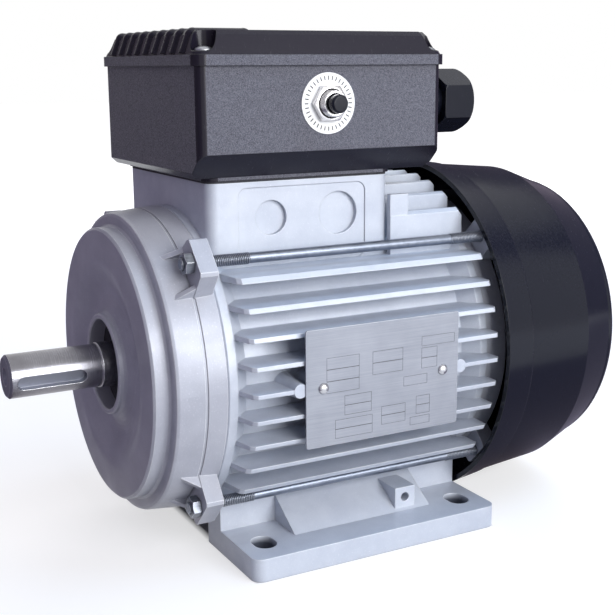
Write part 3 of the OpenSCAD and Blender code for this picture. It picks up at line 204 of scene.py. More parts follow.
# The edge mask brightens corners in the materials: rubbed wear, and on the castings partly a painted
# highlight.
wire(
    edge_wear_and_shade, edge_group_out.inputs["Edge"],
    reckon(edge_wear_and_shade, "MULTIPLY", turned_away, spread(edge_wear_and_shade, openness, 0.70, 0.92)),
)
# The hollow mask carries painted shade: it is high where ambient occlusion finds a hollow.
wire(edge_wear_and_shade, edge_group_out.inputs["HollowShade"], spread(edge_wear_and_shade, openness, 0.85, 0.25))

# A lathe tool leaves fine rings along the axis of a turned piece. Some are deeper than others.
turned_rings, rings_in, rings_out = effect("turned_rings", {"Fineness": 4000.0}, {"Rings": "Float"})
along = split(turned_rings, surface_place(turned_rings))["Y"]
ring_noise = place_node(
    turned_rings, "TexNoise", {"noise_dimensions": "1D"},
    W=reckon(turned_rings, "MULTIPLY", along, rings_in.outputs["Fineness"]),
    Scale=1.0, Detail=2.0, Roughness=0.7,
)
wire(turned_rings, rings_out.inputs["Rings"], ring_noise.outputs["Fac"])


def axis_reach(tree):
    """Distance of the surface from the shaft axis, and its place along the axis, in metres."""
    place = split(tree, surface_place(tree))
    height = reckon(tree, "SUBTRACT", place["Z"], AXIS_HEIGHT)
    return reckon(tree, "SQRT", sum_of_squares(tree, place["X"], height)), place["Y"]


def ground_steel(name, dark, light, rough, ground_r=0.0):
    """Bare metal with fine rings, stains and bright corners, and duller cuts inside its ground radius."""
    material, tree, shader = finish_of(name, Metallic=1.0)
    edge_and_hollow = use(tree, edge_wear_and_shade, Radius=0.4 * MM, Reach=2 * MM)
    rings = use(tree, turned_rings, Fineness=5200.0)["Rings"]
    stain = noise(tree, surface_place(tree), 55.0, 4.0, 0.6)
    cloud = weigh(tree, rings, 0.35, stain, 0.65)
    reach, _ = axis_reach(tree)
    milled = reckon(tree, "LESS_THAN", reach, ground_r)
    ground = tint(tree, spread(tree, cloud, 0.32, 0.68), dark, light)
    body = tint(tree, milled, ground, MILLED_STEEL)
    wire(tree, shader.inputs["Base Color"], tint(tree, edge_and_hollow["Edge"], body, RUBBED_STEEL))
    ring_rough = spread(tree, cloud, 0.3, 0.7, rough * 0.75, rough * 1.35)
    cut_rough = reckon(tree, "MULTIPLY", milled, MILLED_ROUGH)
    wire(tree, shader.inputs["Roughness"], reckon(tree, "MAXIMUM", ring_rough, cut_rough))
    bump(tree, shader, rings, 0.004 * MM, edge_and_hollow["Normal"])
    return material


shaft_steel = ground_steel(
    "ground_shaft_steel", dark=(0.20, 0.195, 0.215), light=(0.36, 0.36, 0.395),
    rough=0.24, ground_r=SHAFT_D / 2 - GROUND_SKIN,
)
dress(shaft_steel, "shaft")

# The bearings are hardened rings and balls in a pressed cage, pushed on to the shaft.
# The wave washer behind the fan-end bearing is spring steel, blued by its heat treatment.
# The circlip of the fan is the same steel.
dress(
    ground_steel("bearing_steel", dark=(0.50, 0.50, 0.51), light=(0.62, 0.62, 0.63), rough=0.14),
    "drive_bearing_outer", "drive_bearing_inner", "fan_bearing_outer", "fan_bearing_inner",
    "drive_bearing_balls", "fan_bearing_balls",
)
dress(
    ground_steel("spring_steel", dark=(0.16, 0.16, 0.19), light=(0.26, 0.26, 0.30), rough=0.32),
    "wave_spring", "fan_circlip",
)

# The rotor and stator cores are stacks of half-millimetre sheet, stamped and pressed together.
# Their edges show as fine lines across the stack, with a thin oxide skin.
SHEET_PER_METRE = 2000.0
SHEET_GAP = (0.03, 0.03, 0.03)
core_finish, core_tree, core_shader = finish_of("stacked_sheet", Metallic=0.8)
core_y = split(core_tree, surface_place(core_tree))["Y"]
sheet_wave = reckon(core_tree, "FRACT", reckon(core_tree, "MULTIPLY", core_y, SHEET_PER_METRE))
sheet_gap = spread(core_tree, sheet_wave, 0.80, 0.98)
oxide = noise(core_tree, surface_place(core_tree), 240.0, 4.0)
core_tone = tint(core_tree, oxide, (0.11, 0.11, 0.13), (0.22, 0.21, 0.22))
wire(core_tree, core_shader.inputs["Base Color"], tint(core_tree, sheet_gap, core_tone, SHEET_GAP))
wire(core_tree, core_shader.inputs["Roughness"], spread(core_tree, oxide, 0.3, 0.7, 0.38, 0.58))
bump(core_tree, core_shader, reckon(core_tree, "SUBTRACT", 1.0, sheet_gap), 0.05 * MM)
dress(core_finish, "rotor_core", "stator_core")

# The winding overhangs are bundles of varnished copper wire, pressed round and laced.
# The strands run round the bore and cross each other a little.
STRANDS_PER_METRE = 900.0
STRAND_WANDER = 6 * MM
BETWEEN_STRANDS = (0.10, 0.03, 0.015)
VARNISHED_COPPER = (0.58, 0.25, 0.10)
wire_finish, wire_tree, wire_shader = finish_of("varnished_copper", Metallic=0.6, Coat_Roughness=0.15)
wire_drift = noise(wire_tree, surface_place(wire_tree), 70.0, 2.0)
wire_reach, wire_along = axis_reach(wire_tree)
strand_place = reckon(
    wire_tree, "ADD",
    reckon(wire_tree, "ADD", wire_reach, wire_along),
    reckon(wire_tree, "MULTIPLY", wire_drift, STRAND_WANDER),
)
strand = reckon(
    wire_tree, "ABSOLUTE",
    reckon(wire_tree, "SINE", reckon(wire_tree, "MULTIPLY", strand_place, STRANDS_PER_METRE * math.pi)),
)
wire(
    wire_tree, wire_shader.inputs["Base Color"],
    tint(wire_tree, spread(wire_tree, strand, 0.1, 0.8), BETWEEN_STRANDS, VARNISHED_COPPER),
)
wire(wire_tree, wire_shader.inputs["Roughness"], spread(wire_tree, wire_drift, 0.3, 0.7, 0.25, 0.45))
wire(wire_tree, wire_shader.inputs["Coat Weight"], spread(wire_tree, wire_drift, 0.35, 0.65, 0.2, 0.8))
bump(wire_tree, wire_shader, strand, 0.2 * MM)
dress(wire_finish, "winding_drive_end", "winding_fan_end")

# The frame is one aluminium die casting: fins, feet, pedestal and end rings in one shot.
# The end shields are cast the same way. All are bare, with a fine grain from the blasting
# whose bright specks are painted glints, faint cold-flow clouds, and corners rubbed bright
# and partly a painted highlight. Their hollows and the walls of the foot slots are darkened
# as painted shade, and the shields are painted darker than the frame as shade.
FOOT_SLOT_X = 62.5 * MM
FOOT_SLOT_Y = 50 * MM
FOOT_SLOT_REACH = 9.5 * MM
FOOT_TOP = 10 * MM
SLOT_RIM = 0.3 * MM
SLOT_SHADE = 3 * MM
SLOT_SHADE_COLOUR = (0.09, 0.10, 0.13)
CAST_GLINT = (0.78, 0.79, 0.82)
CAST_HOLLOW_SHADE = (0.28, 0.28, 0.31)
EDGE_WEAR_AND_HIGHLIGHT = (0.80, 0.81, 0.82)
cast_grain, grain_in, grain_out = effect(
    "cast_grain", {"Fineness": 1500.0}, {"Tone": "Float", "Height": "Float", "Speck": "Float"}
)
grain_place = surface_place(cast_grain)
fine_grain = noise(cast_grain, grain_place, grain_in.outputs["Fineness"], 3.0, 0.6)
cloud_tone = noise(cast_grain, grain_place, 70.0, 4.0, 0.6)
flow_tone = noise(cast_grain, scaled_place(cast_grain, (28.0, 9.0, 42.0)), 1.0, 4.0, 0.6)
wire(cast_grain, grain_out.inputs["Tone"], weigh(cast_grain, cloud_tone, 0.5, flow_tone, 0.5))
wire(cast_grain, grain_out.inputs["Height"], weigh(cast_grain, fine_grain, 1.0, cloud_tone, 0.6))
wire(cast_grain, grain_out.inputs["Speck"], spread(cast_grain, fine_grain, 0.60, 0.72))


def in_foot_slots(tree):
    """1 on the walls of the four foot slots, where painted shade goes, and 0 elsewhere."""
    place = split(tree, surface_place(tree))
    off_x = reckon(tree, "SUBTRACT", reckon(tree, "ABSOLUTE", place["X"]), FOOT_SLOT_X)
    off_y = reckon(tree, "SUBTRACT", reckon(tree, "ABSOLUTE", place["Y"]), FOOT_SLOT_Y)
    near = reckon(tree, "LESS_THAN", sum_of_squares(tree, off_x, off_y), FOOT_SLOT_REACH ** 2)
    deep = spread(tree, place["Z"], FOOT_TOP - SLOT_RIM, FOOT_TOP - SLOT_SHADE)
    return reckon(tree, "MULTIPLY", near, deep)


def cast_aluminium(name, dark, light, rough, edge_brightening, shade_mask=None):
    """Bare die-cast aluminium: rubbed corners with a painted highlight, painted shade in hollows and masked
    places.
    """
    material, tree, shader = finish_of(name, Metallic=0.12, Specular_IOR_Level=0.35)
    edge_and_hollow = use(tree, edge_wear_and_shade, Radius=0.6 * MM, Reach=4 * MM)
    grain = use(tree, cast_grain, Fineness=1500.0)
    body = tint(tree, spread(tree, grain["Tone"], 0.36, 0.64), dark, light)
    # Bright specks on the grain are painted glints.
    specked = tint(tree, reckon(tree, "MULTIPLY", grain["Speck"], 0.35), body, CAST_GLINT)
    # Hollows are darkened as painted shade, and the foot slot walls too where a shade mask is given.
    hollow_shaded = tint(tree, reckon(tree, "MULTIPLY", edge_and_hollow["HollowShade"], 0.22), specked, CAST_HOLLOW_SHADE)
    if shade_mask:
        hollow_shaded = tint(tree, shade_mask(tree), hollow_shaded, SLOT_SHADE_COLOUR)
    # The bright corner colour is partly rubbed metal and partly a painted highlight.
    edge_share = spread(tree, grain["Tone"], 0.30, 0.55, edge_brightening * 0.2, edge_brightening)
    bright_edge = reckon(tree, "MULTIPLY", edge_and_hollow["Edge"], edge_share)
    wire(tree, shader.inputs["Base Color"], tint(tree, bright_edge, hollow_shaded, EDGE_WEAR_AND_HIGHLIGHT))
    wire(tree, shader.inputs["Roughness"], spread(tree, grain["Tone"], 0.3, 0.7, rough + 0.08, rough - 0.08))
    bump(tree, shader, grain["Height"], 0.04 * MM, edge_and_hollow["Normal"])
    return material


frame_casting = cast_aluminium(
    "die_cast_frame", dark=(0.465, 0.50, 0.575), light=(0.57, 0.605, 0.67),
    rough=0.42, edge_brightening=0.55, shade_mask=in_foot_slots,
)
# The shields are the frame's casting painted darker: painted shade on the drive end, which faces away from
# the lamps.
shaded_shield_casting = cast_aluminium(
    "die_cast_shield_shaded", dark=(0.385, 0.397, 0.45), light=(0.457, 0.472, 0.525), rough=0.40, edge_brightening=1.0
)
cage_casting = cast_aluminium(
    "cage_casting", dark=(0.48, 0.48, 0.49), light=(0.60, 0.60, 0.61), rough=0.5, edge_brightening=0.5
)
dress(frame_casting, "frame_housing")
dress(shaded_shield_casting, "drive_end_shield", "fan_end_shield")
dress(cage_casting, "rotor_cage")

# The tie rods draw the two shields against the frame. Each is a drawn steel bar
# with a rolled thread at both ends, so its bare middle is thinner than the thread.
# They are zinc plated, and painted darker as the shade of the fins that they lie among.
ROD_ANGLE = 43.4
ROD_REACH = 74.7 * MM
ROD_PITCH = 0.8 * MM
ROD_THREAD = 30 * MM
ROD_ROOT_D = 4.1 * MM
THREAD_CHAMFER = 0.4 * MM
SHANK_D = 4.4 * MM
SHANK_EDGE = 0.2 * MM
SHANK_LAP = 1 * MM
THREAD_STEPS = 20
LEAD_TURNS = 2
MERGE_WITHIN = 0.001 * MM
CUT_WITHIN = 0.0001 * MM
SLIT_SIDES = 8
SMOOTH_BELOW = math.radians(35)
PLATE_HOLLOW_SHADE = (0.05, 0.05, 0.055)
RUBBED_ZINC = (0.72, 0.74, 0.77)


def fresh(add, **options):
    """Adds a primitive with nothing else selected, and returns it."""
    bpy.ops.object.select_all(action="DESELECT")
    add(**options)
    return bpy.context.object


def pick(piece):
    """Makes one object the only one selected, and the active one."""
    bpy.ops.object.select_all(action="DESELECT")
    piece.select_set(True)
    bpy.context.view_layer.objects.active = piece


def edit_all():
    """Enters edit mode with the whole mesh selected."""
    bpy.ops.object.mode_set(mode="EDIT")
    bpy.ops.mesh.select_all(action="SELECT")


def leave_edit():
    """Returns to object mode."""
    bpy.ops.object.mode_set(mode="OBJECT")


def traced(name, points):
    """New object with a chain of edges, drawn by extruding one vertex from point to point."""
    drawn = fresh(bpy.ops.mesh.primitive_plane_add, size=MM)
    drawn.name = name
    edit_all()
    bpy.ops.mesh.merge(type="CENTER")
    bpy.ops.transform.translate(value=points[0])
    for before, after in zip(points, points[1:]):
        step = Vector(after) - Vector(before)
        bpy.ops.mesh.extrude_region_move(TRANSFORM_OT_translate={"value": step})
    leave_edit()
    return drawn


def clean_mesh(piece):
    """Merges doubled points, closes slits and turns all faces outwards."""
    pick(piece)
    edit_all()
    bpy.ops.mesh.remove_doubles(threshold=MERGE_WITHIN)
    bpy.ops.mesh.fill_holes(sides=SLIT_SIDES)
    bpy.ops.mesh.normals_make_consistent(inside=False)
    leave_edit()


def turned(name, points, steps=48):
    """Closed solid of revolution about Z, from a profile that starts and ends on the axis or on itself."""
    drawn = traced(name, points)
    pick(drawn)
    edit_all()
    bpy.ops.mesh.spin(steps=steps, angle=2 * math.pi, center=(0, 0, 0), axis=(0, 0, 1))
    leave_edit()
    clean_mesh(drawn)
    return drawn


def apply_modifier(piece, modifier):
    """Applies a modifier to its piece."""
    pick(piece)
    bpy.ops.object.modifier_apply(modifier=modifier.name)


def combine(piece, tool, operation):
    """Boolean of a piece with a tool, which is used up."""
    change = piece.modifiers.new("combine", "BOOLEAN")
    change.operation = operation
    change.solver = "EXACT"
    change.object = tool
    apply_modifier(piece, change)
    bpy.data.objects.remove(tool, do_unlink=True)


def threaded_bar(name, pitch, crest_d, root_d, length):
    """Thread on the Z axis from 0 to a length, wound from one tooth and cut square, chamfered at 0."""
    crest = crest_d / 2
    root = root_d / 2
    tooth = ((root, 0.0), (crest, 0.42), (crest, 0.58), (root, 1.0))
    bar = traced(name, [(radius, 0, (share - LEAD_TURNS) * pitch) for radius, share in tooth])
    turn = bar.modifiers.new("wind", "SCREW")
    turn.axis = "Z"
    turn.angle = 2 * math.pi
    turn.screw_offset = pitch
    turn.iterations = math.ceil(length / pitch) + LEAD_TURNS + 1
    turn.steps = THREAD_STEPS
    turn.render_steps = THREAD_STEPS
    apply_modifier(bar, turn)
    clean_mesh(bar)
    pick(bar)
    edit_all()
    for end, away in ((0, -1), (length, 1)):
        bpy.ops.mesh.select_all(action="SELECT")
        bpy.ops.mesh.bisect(
            plane_co=(0, 0, end), plane_no=(0, 0, away), threshold=CUT_WITHIN,
            use_fill=True, clear_outer=True,
        )
    leave_edit()
    clean_mesh(bar)
    outside = crest + THREAD_CHAMFER
    blank = turned("blank", [
        (0, 0, 0), (crest - THREAD_CHAMFER, 0, 0), (outside, 0, 2 * THREAD_CHAMFER),
        (outside, 0, length + pitch), (0, 0, length + pitch),
    ])
    combine(bar, blank, "INTERSECT")
    return bar


def join_all(pieces, name):
    """Joins pieces into the first one and names it."""
    pick(pieces[0])
    for piece in pieces:
        piece.select_set(True)
    if len(pieces) > 1:
        bpy.ops.object.join()
    pieces[0].name = name
    return pieces[0]


def copies_of(piece, name, places):
    """One object made of copies of a piece, each moved by a matrix. The piece is used up."""
    made = []
    for place in places:
        twin = piece.copy()
        twin.data = piece.data.copy()
        twin.data.transform(place)
        scene.collection.objects.link(twin)
        made.append(twin)
    bpy.data.objects.remove(piece, do_unlink=True)
    joined = join_all(made, name)
    joined.data.name = name
    bpy.ops.object.shade_smooth_by_angle(angle=SMOOTH_BELOW)
    return joined


def add_piece(piece, material, body, slot, *replaced):
    """Gives a new piece its material, its body and the nodes that it stands for."""
    piece.data.materials.clear()
    piece.data.materials.append(material)
    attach(piece, body)
    if replaced:
        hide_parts(*replaced)


def plated_steel(name, dark, light, rough):
    """Zinc plate: bluish, faintly clouded, bright on the corners, with painted shade in its hollows."""
    material, tree, shader = finish_of(name, Metallic=0.9)
    edge_and_hollow = use(tree, edge_wear_and_shade, Radius=0.3 * MM, Reach=1.5 * MM)
    bloom = noise(tree, surface_place(tree), 420.0, 4.0, 0.6)
    scuff = noise(tree, scaled_place(tree, (900.0, 60.0, 900.0)), 1.0, 3.0)
    cloud = reckon(tree, "MULTIPLY", reckon(tree, "ADD", bloom, scuff), 0.5)
    body = tint(tree, spread(tree, cloud, 0.36, 0.64), dark, light)
    # Hollows are darkened as painted shade.
    hollow_shaded = tint(tree, reckon(tree, "MULTIPLY", edge_and_hollow["HollowShade"], 0.7), body, PLATE_HOLLOW_SHADE)
    wire(tree, shader.inputs["Base Color"], tint(tree, edge_and_hollow["Edge"], hollow_shaded, RUBBED_ZINC))
    wire(tree, shader.inputs["Roughness"], spread(tree, cloud, 0.35, 0.65, rough - 0.08, rough + 0.10))
    bump(tree, shader, bloom, 0.012 * MM, edge_and_hollow["Normal"])
    return material


rod_low, rod_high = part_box("tie_rods")
rod_length = rod_high[1] - rod_low[1]
rod_d = rod_high[2] - 2 * ROD_REACH * math.sin(math.radians(ROD_ANGLE)) - rod_low[2]
rod = threaded_bar("rod", ROD_PITCH, rod_d, ROD_ROOT_D, ROD_THREAD)
far_end = rod.copy()
far_end.data = rod.data.copy()
far_end.data.transform(Matrix.Translation((0, 0, rod_length)) @ Matrix.Rotation(math.pi, 4, "X"))
scene.collection.objects.link(far_end)
shank_from = ROD_THREAD - SHANK_LAP
shank_to = rod_length - ROD_THREAD + SHANK_LAP
shank = turned("shank", [
    (0, 0, shank_from), (SHANK_D / 2 - SHANK_EDGE, 0, shank_from), (SHANK_D / 2, 0, ROD_THREAD),
    (SHANK_D / 2, 0, rod_length - ROD_THREAD), (SHANK_D / 2 - SHANK_EDGE, 0, shank_to), (0, 0, shank_to),
], 32)
combine(rod, shank, "UNION")
combine(rod, far_end, "UNION")

lie_along_y = Matrix.Rotation(-math.pi / 2, 4, "X")
rod_angles = [math.radians(angle) for angle in (ROD_ANGLE, 180 - ROD_ANGLE, 180 + ROD_ANGLE, -ROD_ANGLE)]


def at_rod(angle, y):
    """Place of a rod's axis at a station along the motor, turned so that X points outwards."""
    place = Vector((ROD_REACH * math.cos(angle), y, AXIS_HEIGHT + ROD_REACH * math.sin(angle)))
    return Matrix.Translation(place) @ Matrix.Rotation(-angle, 4, "Y") @ lie_along_y


rods = copies_of(rod, "threaded_tie_rods", [at_rod(angle, rod_low[1]) for angle in rod_angles])
# The rods' zinc is painted darker: painted shade of the fins round them.
shaded_rod_zinc = plated_steel("shaded_rod_zinc", dark=(0.16, 0.18, 0.225), light=(0.25, 0.275, 0.33), rough=0.36)
add_piece(rods, shaded_rod_zinc, "motor_frame", "zinc_plated_steel", "tie_rods")

# A nut closes each end of a rod. It is a hexagon turned off at 30 degrees on both faces,
# with a countersunk bore, and darker than the rods because oil stays on it.
NUT_AF = 8 * MM
NUT_H = 4 * MM
NUT_BORE_SHARE = 1.03
NUT_CHAMFER = math.radians(30)
SINK_SHARE = 0.05


def hex_nut(name, across_flats, height, bore_d, face_share):
    """Nut on the Z axis from 0 to its height. The turned face is a share of the width across the flats."""
    corner = across_flats / math.sqrt(3)
    face = across_flats / 2 * face_share
    drop = (corner - face) * math.tan(NUT_CHAMFER)
    sink = SINK_SHARE * bore_d
    nut = turned(name, [
        (bore_d / 2, 0, sink), (bore_d / 2 + sink, 0, 0), (face, 0, 0), (corner, 0, drop),
        (corner, 0, height - drop), (face, 0, height), (bore_d / 2 + sink, 0, height),
        (bore_d / 2, 0, height - sink), (bore_d / 2, 0, sink),
    ], 60)
    hexagon = fresh(
        bpy.ops.mesh.primitive_cylinder_add,
        vertices=6, radius=corner, depth=2 * height, location=(0, 0, height / 2),
    )
    combine(nut, hexagon, "INTERSECT")
    return nut


nut_low, nut_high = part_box("tie_rod_nuts")
rod_nuts = copies_of(
    hex_nut("rod_nut", NUT_AF, NUT_H, NUT_BORE_SHARE * rod_d, face_share=0.95), "chamfered_rod_nuts",
    [at_rod(angle, y) for angle in rod_angles for y in (nut_low[1], nut_high[1] - NUT_H)],
)
nut_zinc = plated_steel("nut_zinc", dark=(0.15, 0.16, 0.19), light=(0.28, 0.30, 0.34), rough=0.36)
add_piece(rod_nuts, nut_zinc, "motor_frame", "zinc_plated_steel", "tie_rod_nuts")

# The seal in the hub and the gaskets of the box are black rubber, moulded and pressed in.
# Rubber stays dull, with a grey bloom on it.


def clouded(name, specular, cloud_size, tones, tone_span, rough_span):
    """Plain skin with faint clouds, whose size is noise settings: material, tree, shader and the cloud."""
    material, tree, shader = finish_of(name, Specular_IOR_Level=specular)
    cloud = noise(tree, surface_place(tree), *cloud_size)
    wire(tree, shader.inputs["Base Color"], tint(tree, spread(tree, cloud, *tone_span), *tones))
    wire(tree, shader.inputs["Roughness"], spread(tree, cloud, 0.3, 0.7, *rough_span))
    return material, tree, shader, cloud


rubber_finish, rubber_tree, rubber_shader, _ = clouded(
    "bloomed_rubber", specular=0.3, cloud_size=(300.0, 4.0, 0.6),
    tones=((0.026, 0.026, 0.032), (0.06, 0.06, 0.07)), tone_span=(0.4, 0.75), rough_span=(0.55, 0.8),
)
bump(rubber_tree, rubber_shader, noise(rubber_tree, surface_place(rubber_tree), 1800.0), 0.02 * MM)
dress(rubber_finish, "shaft_seal", "box_gasket", "lid_gasket", "gland_seal")

# The cooling fan and the fan cowl are black polypropylene mouldings. The fan is pressed on the shaft.
# The cowl snaps over the fan-end shield; it came from a polished mould,
# so it is glossy, with hair scratches and a little dust on top.
COWL_BLACK = (0.006, 0.007, 0.014)
COWL_DUST = (0.06, 0.06, 0.07)
COWL_EDGE = (0.03, 0.03, 0.033)
moulded_skin, skin_in, skin_out = effect(
    "moulded_skin", {"Fineness": 900.0}, {"Scratch": "Float", "Ripple": "Float", "Dust": "Float"}
)
skin_place = surface_place(moulded_skin)
ripple = noise(moulded_skin, skin_place, 60.0, 2.0)
hair = noise(moulded_skin, scaled_place(moulded_skin, (240.0, 1400.0, 240.0)), 1.0, 2.0, 0.8)
upward = split(moulded_skin, place_node(moulded_skin, "NewGeometry").outputs["Normal"])["Z"]
dust_noise = noise(moulded_skin, skin_place, skin_in.outputs["Fineness"], 5.0, 0.7)
wire(moulded_skin, skin_out.inputs["Scratch"], spread(moulded_skin, hair, 0.62, 0.80))
wire(moulded_skin, skin_out.inputs["Ripple"], ripple)
wire(
    moulded_skin, skin_out.inputs["Dust"],
    reckon(
        moulded_skin, "MULTIPLY",
        spread(moulded_skin, upward, 0.2, 1.0), spread(moulded_skin, dust_noise, 0.42, 0.75),
    ),
)


def glossy_black(name, rough):
    """Black plastic from a polished mould."""
    material, tree, shader = finish_of(name, Specular_IOR_Level=0.22)
    edge_and_hollow = use(tree, edge_wear_and_shade, Radius=0.5 * MM, Reach=3 * MM)
    skin = use(tree, moulded_skin, Fineness=900.0)
    dusty = tint(tree, reckon(tree, "MULTIPLY", skin["Dust"], 0.3), COWL_BLACK, COWL_DUST)
    wire(tree, shader.inputs["Base Color"], tint(tree, edge_and_hollow["Edge"], dusty, COWL_EDGE))
    dulled = weigh(tree, skin["Scratch"], 0.18, skin["Dust"], 0.12)
    wire(tree, shader.inputs["Roughness"], reckon(tree, "ADD", rough, dulled))
    bump(tree, shader, skin["Ripple"], 0.03 * MM, edge_and_hollow["Normal"])
    return material


dress(glossy_black("polished_black", 0.17), "fan_cowl")
dress(glossy_black("fan_black", 0.42), "cooling_fan")

# The capacitor box is a black moulded tub. Its flat walls have a spark-eroded texture with painted glints
# on its grains, and its corners and the sloping skirt are smooth. The lid is moulded to match:
# a textured lip, and a smooth glossy crown with ribs on its drive end.
LIP_TOP = 212.4 * MM
ABOVE_BOX = 1.0
BOX_BLACK = (0.012, 0.010, 0.018)
BOX_DUST = (0.05, 0.05, 0.058)
BOX_EDGE = (0.035, 0.035, 0.038)
SPARK_DARK = (0.060, 0.059, 0.075)
SPARK_GLINT = (0.230, 0.233, 0.272)
spark_texture, spark_in, spark_out = effect(
    "spark_texture", {"Fineness": 2600.0, "Top": ABOVE_BOX},
    {"Height": "Float", "Flat": "Float", "Glint": "Float"},
)
spark_place = surface_place(spark_texture)
facing = split(spark_texture, place_node(spark_texture, "NewGeometry").outputs["True Normal"])
squarely = reckon(
    spark_texture, "MAXIMUM",
    reckon(spark_texture, "ABSOLUTE", facing["X"]), reckon(spark_texture, "ABSOLUTE", facing["Y"]),
)
below_top = reckon(
    spark_texture, "LESS_THAN", split(spark_texture, spark_place)["Z"], spark_in.outputs["Top"]
)
flat_wall = reckon(spark_texture, "MULTIPLY", spread(spark_texture, squarely, 0.985, 0.996), below_top)
spark_noise = noise(spark_texture, spark_place, spark_in.outputs["Fineness"], 3.0, 0.7)
wire(spark_texture, spark_out.inputs["Flat"], flat_wall)
wire(spark_texture, spark_out.inputs["Height"], reckon(spark_texture, "MULTIPLY", spark_noise, flat_wall))
wire(
    spark_texture, spark_out.inputs["Glint"],
    reckon(spark_texture, "MULTIPLY", spread(spark_texture, spark_noise, 0.34, 0.70), flat_wall),
)


def box_black(name, textured_below):
    """Black plastic, textured with painted glints on the flat walls below a height, and glossy elsewhere."""
    material, tree, shader = finish_of(name, Specular_IOR_Level=0.25)
    edge_and_hollow = use(tree, edge_wear_and_shade, Radius=0.5 * MM, Reach=3 * MM)
    skin = use(tree, moulded_skin, Fineness=1100.0)
    spark = use(tree, spark_texture, Fineness=2600.0, Top=textured_below)
    plain = tint(tree, reckon(tree, "MULTIPLY", skin["Dust"], 0.4), BOX_BLACK, BOX_DUST)
    textured = tint(tree, spark["Flat"], plain, SPARK_DARK)
    # The glint colour on the grains is a painted glint.
    glinting = tint(tree, spark["Glint"], textured, SPARK_GLINT)
    wire(tree, shader.inputs["Base Color"], tint(tree, edge_and_hollow["Edge"], glinting, BOX_EDGE))
    smooth_rough = reckon(tree, "ADD", 0.22, reckon(tree, "MULTIPLY", skin["Scratch"], 0.15))
    flat_rough = spread(tree, spark["Glint"], 0.0, 1.0, 0.48, 0.28)
    rough = place_node(tree, "Mix")
    for index, value in ((0, spark["Flat"]), (2, smooth_rough), (3, flat_rough)):
        wire(tree, rough.inputs[index], value)
    wire(tree, shader.inputs["Roughness"], rough.outputs[0])
    bump(tree, shader, spark["Height"], 0.5 * MM, edge_and_hollow["Normal"])
    return material


dress(box_black("spark_textured_box", ABOVE_BOX), "capacitor_box")
dress(box_black("ribbed_lid_black", LIP_TOP), "box_lid")

# The box is held to the pedestal by four screws inside it, and its lid by four more in its corners.
# They are zinc-plated pan heads with a cross recess.
SCREW_D = 4 * MM
SCREW_HEAD_D = 7.6 * MM
SCREW_HEAD_H = 2.6 * MM
SCREW_RIM_H = 0.5 * MM
SCREW_RIM_EDGE = 0.2 * MM
DOME_SHARE = 0.45
POINT_L = 1 * MM
POINT_SHARE = 0.4
RECESS_L = 0.58 * SCREW_HEAD_D
RECESS_W = 0.9 * MM
RECESS_DEPTH = 1.5 * MM
RECESS_TAPER = 0.45


def cross_screw(name, shank_l):
    """Pan-head screw on the Z axis, its seat at 0 and its shank below."""
    head = SCREW_HEAD_D / 2
    dome = [
        (head * math.sin(turn), 0, SCREW_HEAD_H - head * DOME_SHARE * (1 - math.cos(turn)))
        for turn in (math.radians(degrees) for degrees in range(0, 81, 10))
    ]
    shank_r = SCREW_D / 2
    screw = turned(name, dome + [
        (head, 0, SCREW_RIM_H), (head - SCREW_RIM_EDGE, 0, 0), (shank_r, 0, 0),
        (shank_r, 0, POINT_L - shank_l), (POINT_SHARE * shank_r, 0, -shank_l), (0, 0, -shank_l),
    ], 40)
    for turn in (0, math.pi / 2):
        bit = fresh(bpy.ops.mesh.primitive_cube_add, size=1)
        bit.data.transform(
            Matrix.Translation((0, 0, SCREW_HEAD_H))
            @ Matrix.Rotation(turn, 4, "Z")
            @ Matrix.Diagonal((RECESS_L, RECESS_W, 2 * RECESS_DEPTH, 1))
        )
        pick(bit)
        edit_all()
        bpy.ops.mesh.select_all(action="DESELECT")
        leave_edit()
        for corner in bit.data.vertices:
            corner.select = corner.co.z < SCREW_HEAD_H
        bpy.ops.object.mode_set(mode="EDIT")
        bpy.ops.transform.resize(value=(RECESS_TAPER, RECESS_TAPER, 1), center_override=(0, 0, 0))
        leave_edit()
        combine(screw, bit, "DIFFERENCE")
    return screw


def stopped_turn(x, y):
    """Angle at which a screw came to a stop when it was tightened, another one at each place."""
    return Matrix.Rotation(0.4 + 20 * x + 9 * y, 4, "Z")


lid_screw_low, lid_screw_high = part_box("lid_screws")
lid_seat = lid_screw_high[2] - SCREW_HEAD_H
lid_screw_x = [lid_screw_low[0] + SCREW_HEAD_D / 2, lid_screw_high[0] - SCREW_HEAD_D / 2]
lid_screw_y = [lid_screw_low[1] + SCREW_HEAD_D / 2, lid_screw_high[1] - SCREW_HEAD_D / 2]
lid_screws = copies_of(
    cross_screw("lid_screw", lid_seat - lid_screw_low[2]), "cross_lid_screws",
    [
        Matrix.Translation((x, y, lid_seat)) @ stopped_turn(x, y)
        for x in lid_screw_x for y in lid_screw_y
    ],
)
screw_zinc = plated_steel("screw_zinc", dark=(0.34, 0.35, 0.38), light=(0.50, 0.51, 0.54), rough=0.30)
add_piece(lid_screws, screw_zinc, "motor_frame", "zinc_plated_steel", "lid_screws")
dress(screw_zinc, "box_screws", "capacitor_clip")

# The run capacitor is a drawn can in a pale plastic sleeve, held by a strap.
# Beside it the leads end on brass studs in a small moulded board.
can_finish, can_tree, can_shader, can_cloud = clouded(
    "pale_can", specular=0.5, cloud_size=(90.0, 4.0),
    tones=((0.62, 0.62, 0.57), (0.70, 0.70, 0.66)), tone_span=(0.35, 0.7), rough_span=(0.25, 0.4),
)
bump(can_tree, can_shader, can_cloud, 0.03 * MM)
dress(can_finish, "capacitor")
dress(
    ground_steel("stud_brass", dark=(0.48, 0.33, 0.10), light=(0.62, 0.45, 0.16), rough=0.28),
    "terminal_studs",
)
dress(glossy_black("board_black", 0.35), "terminal_board")

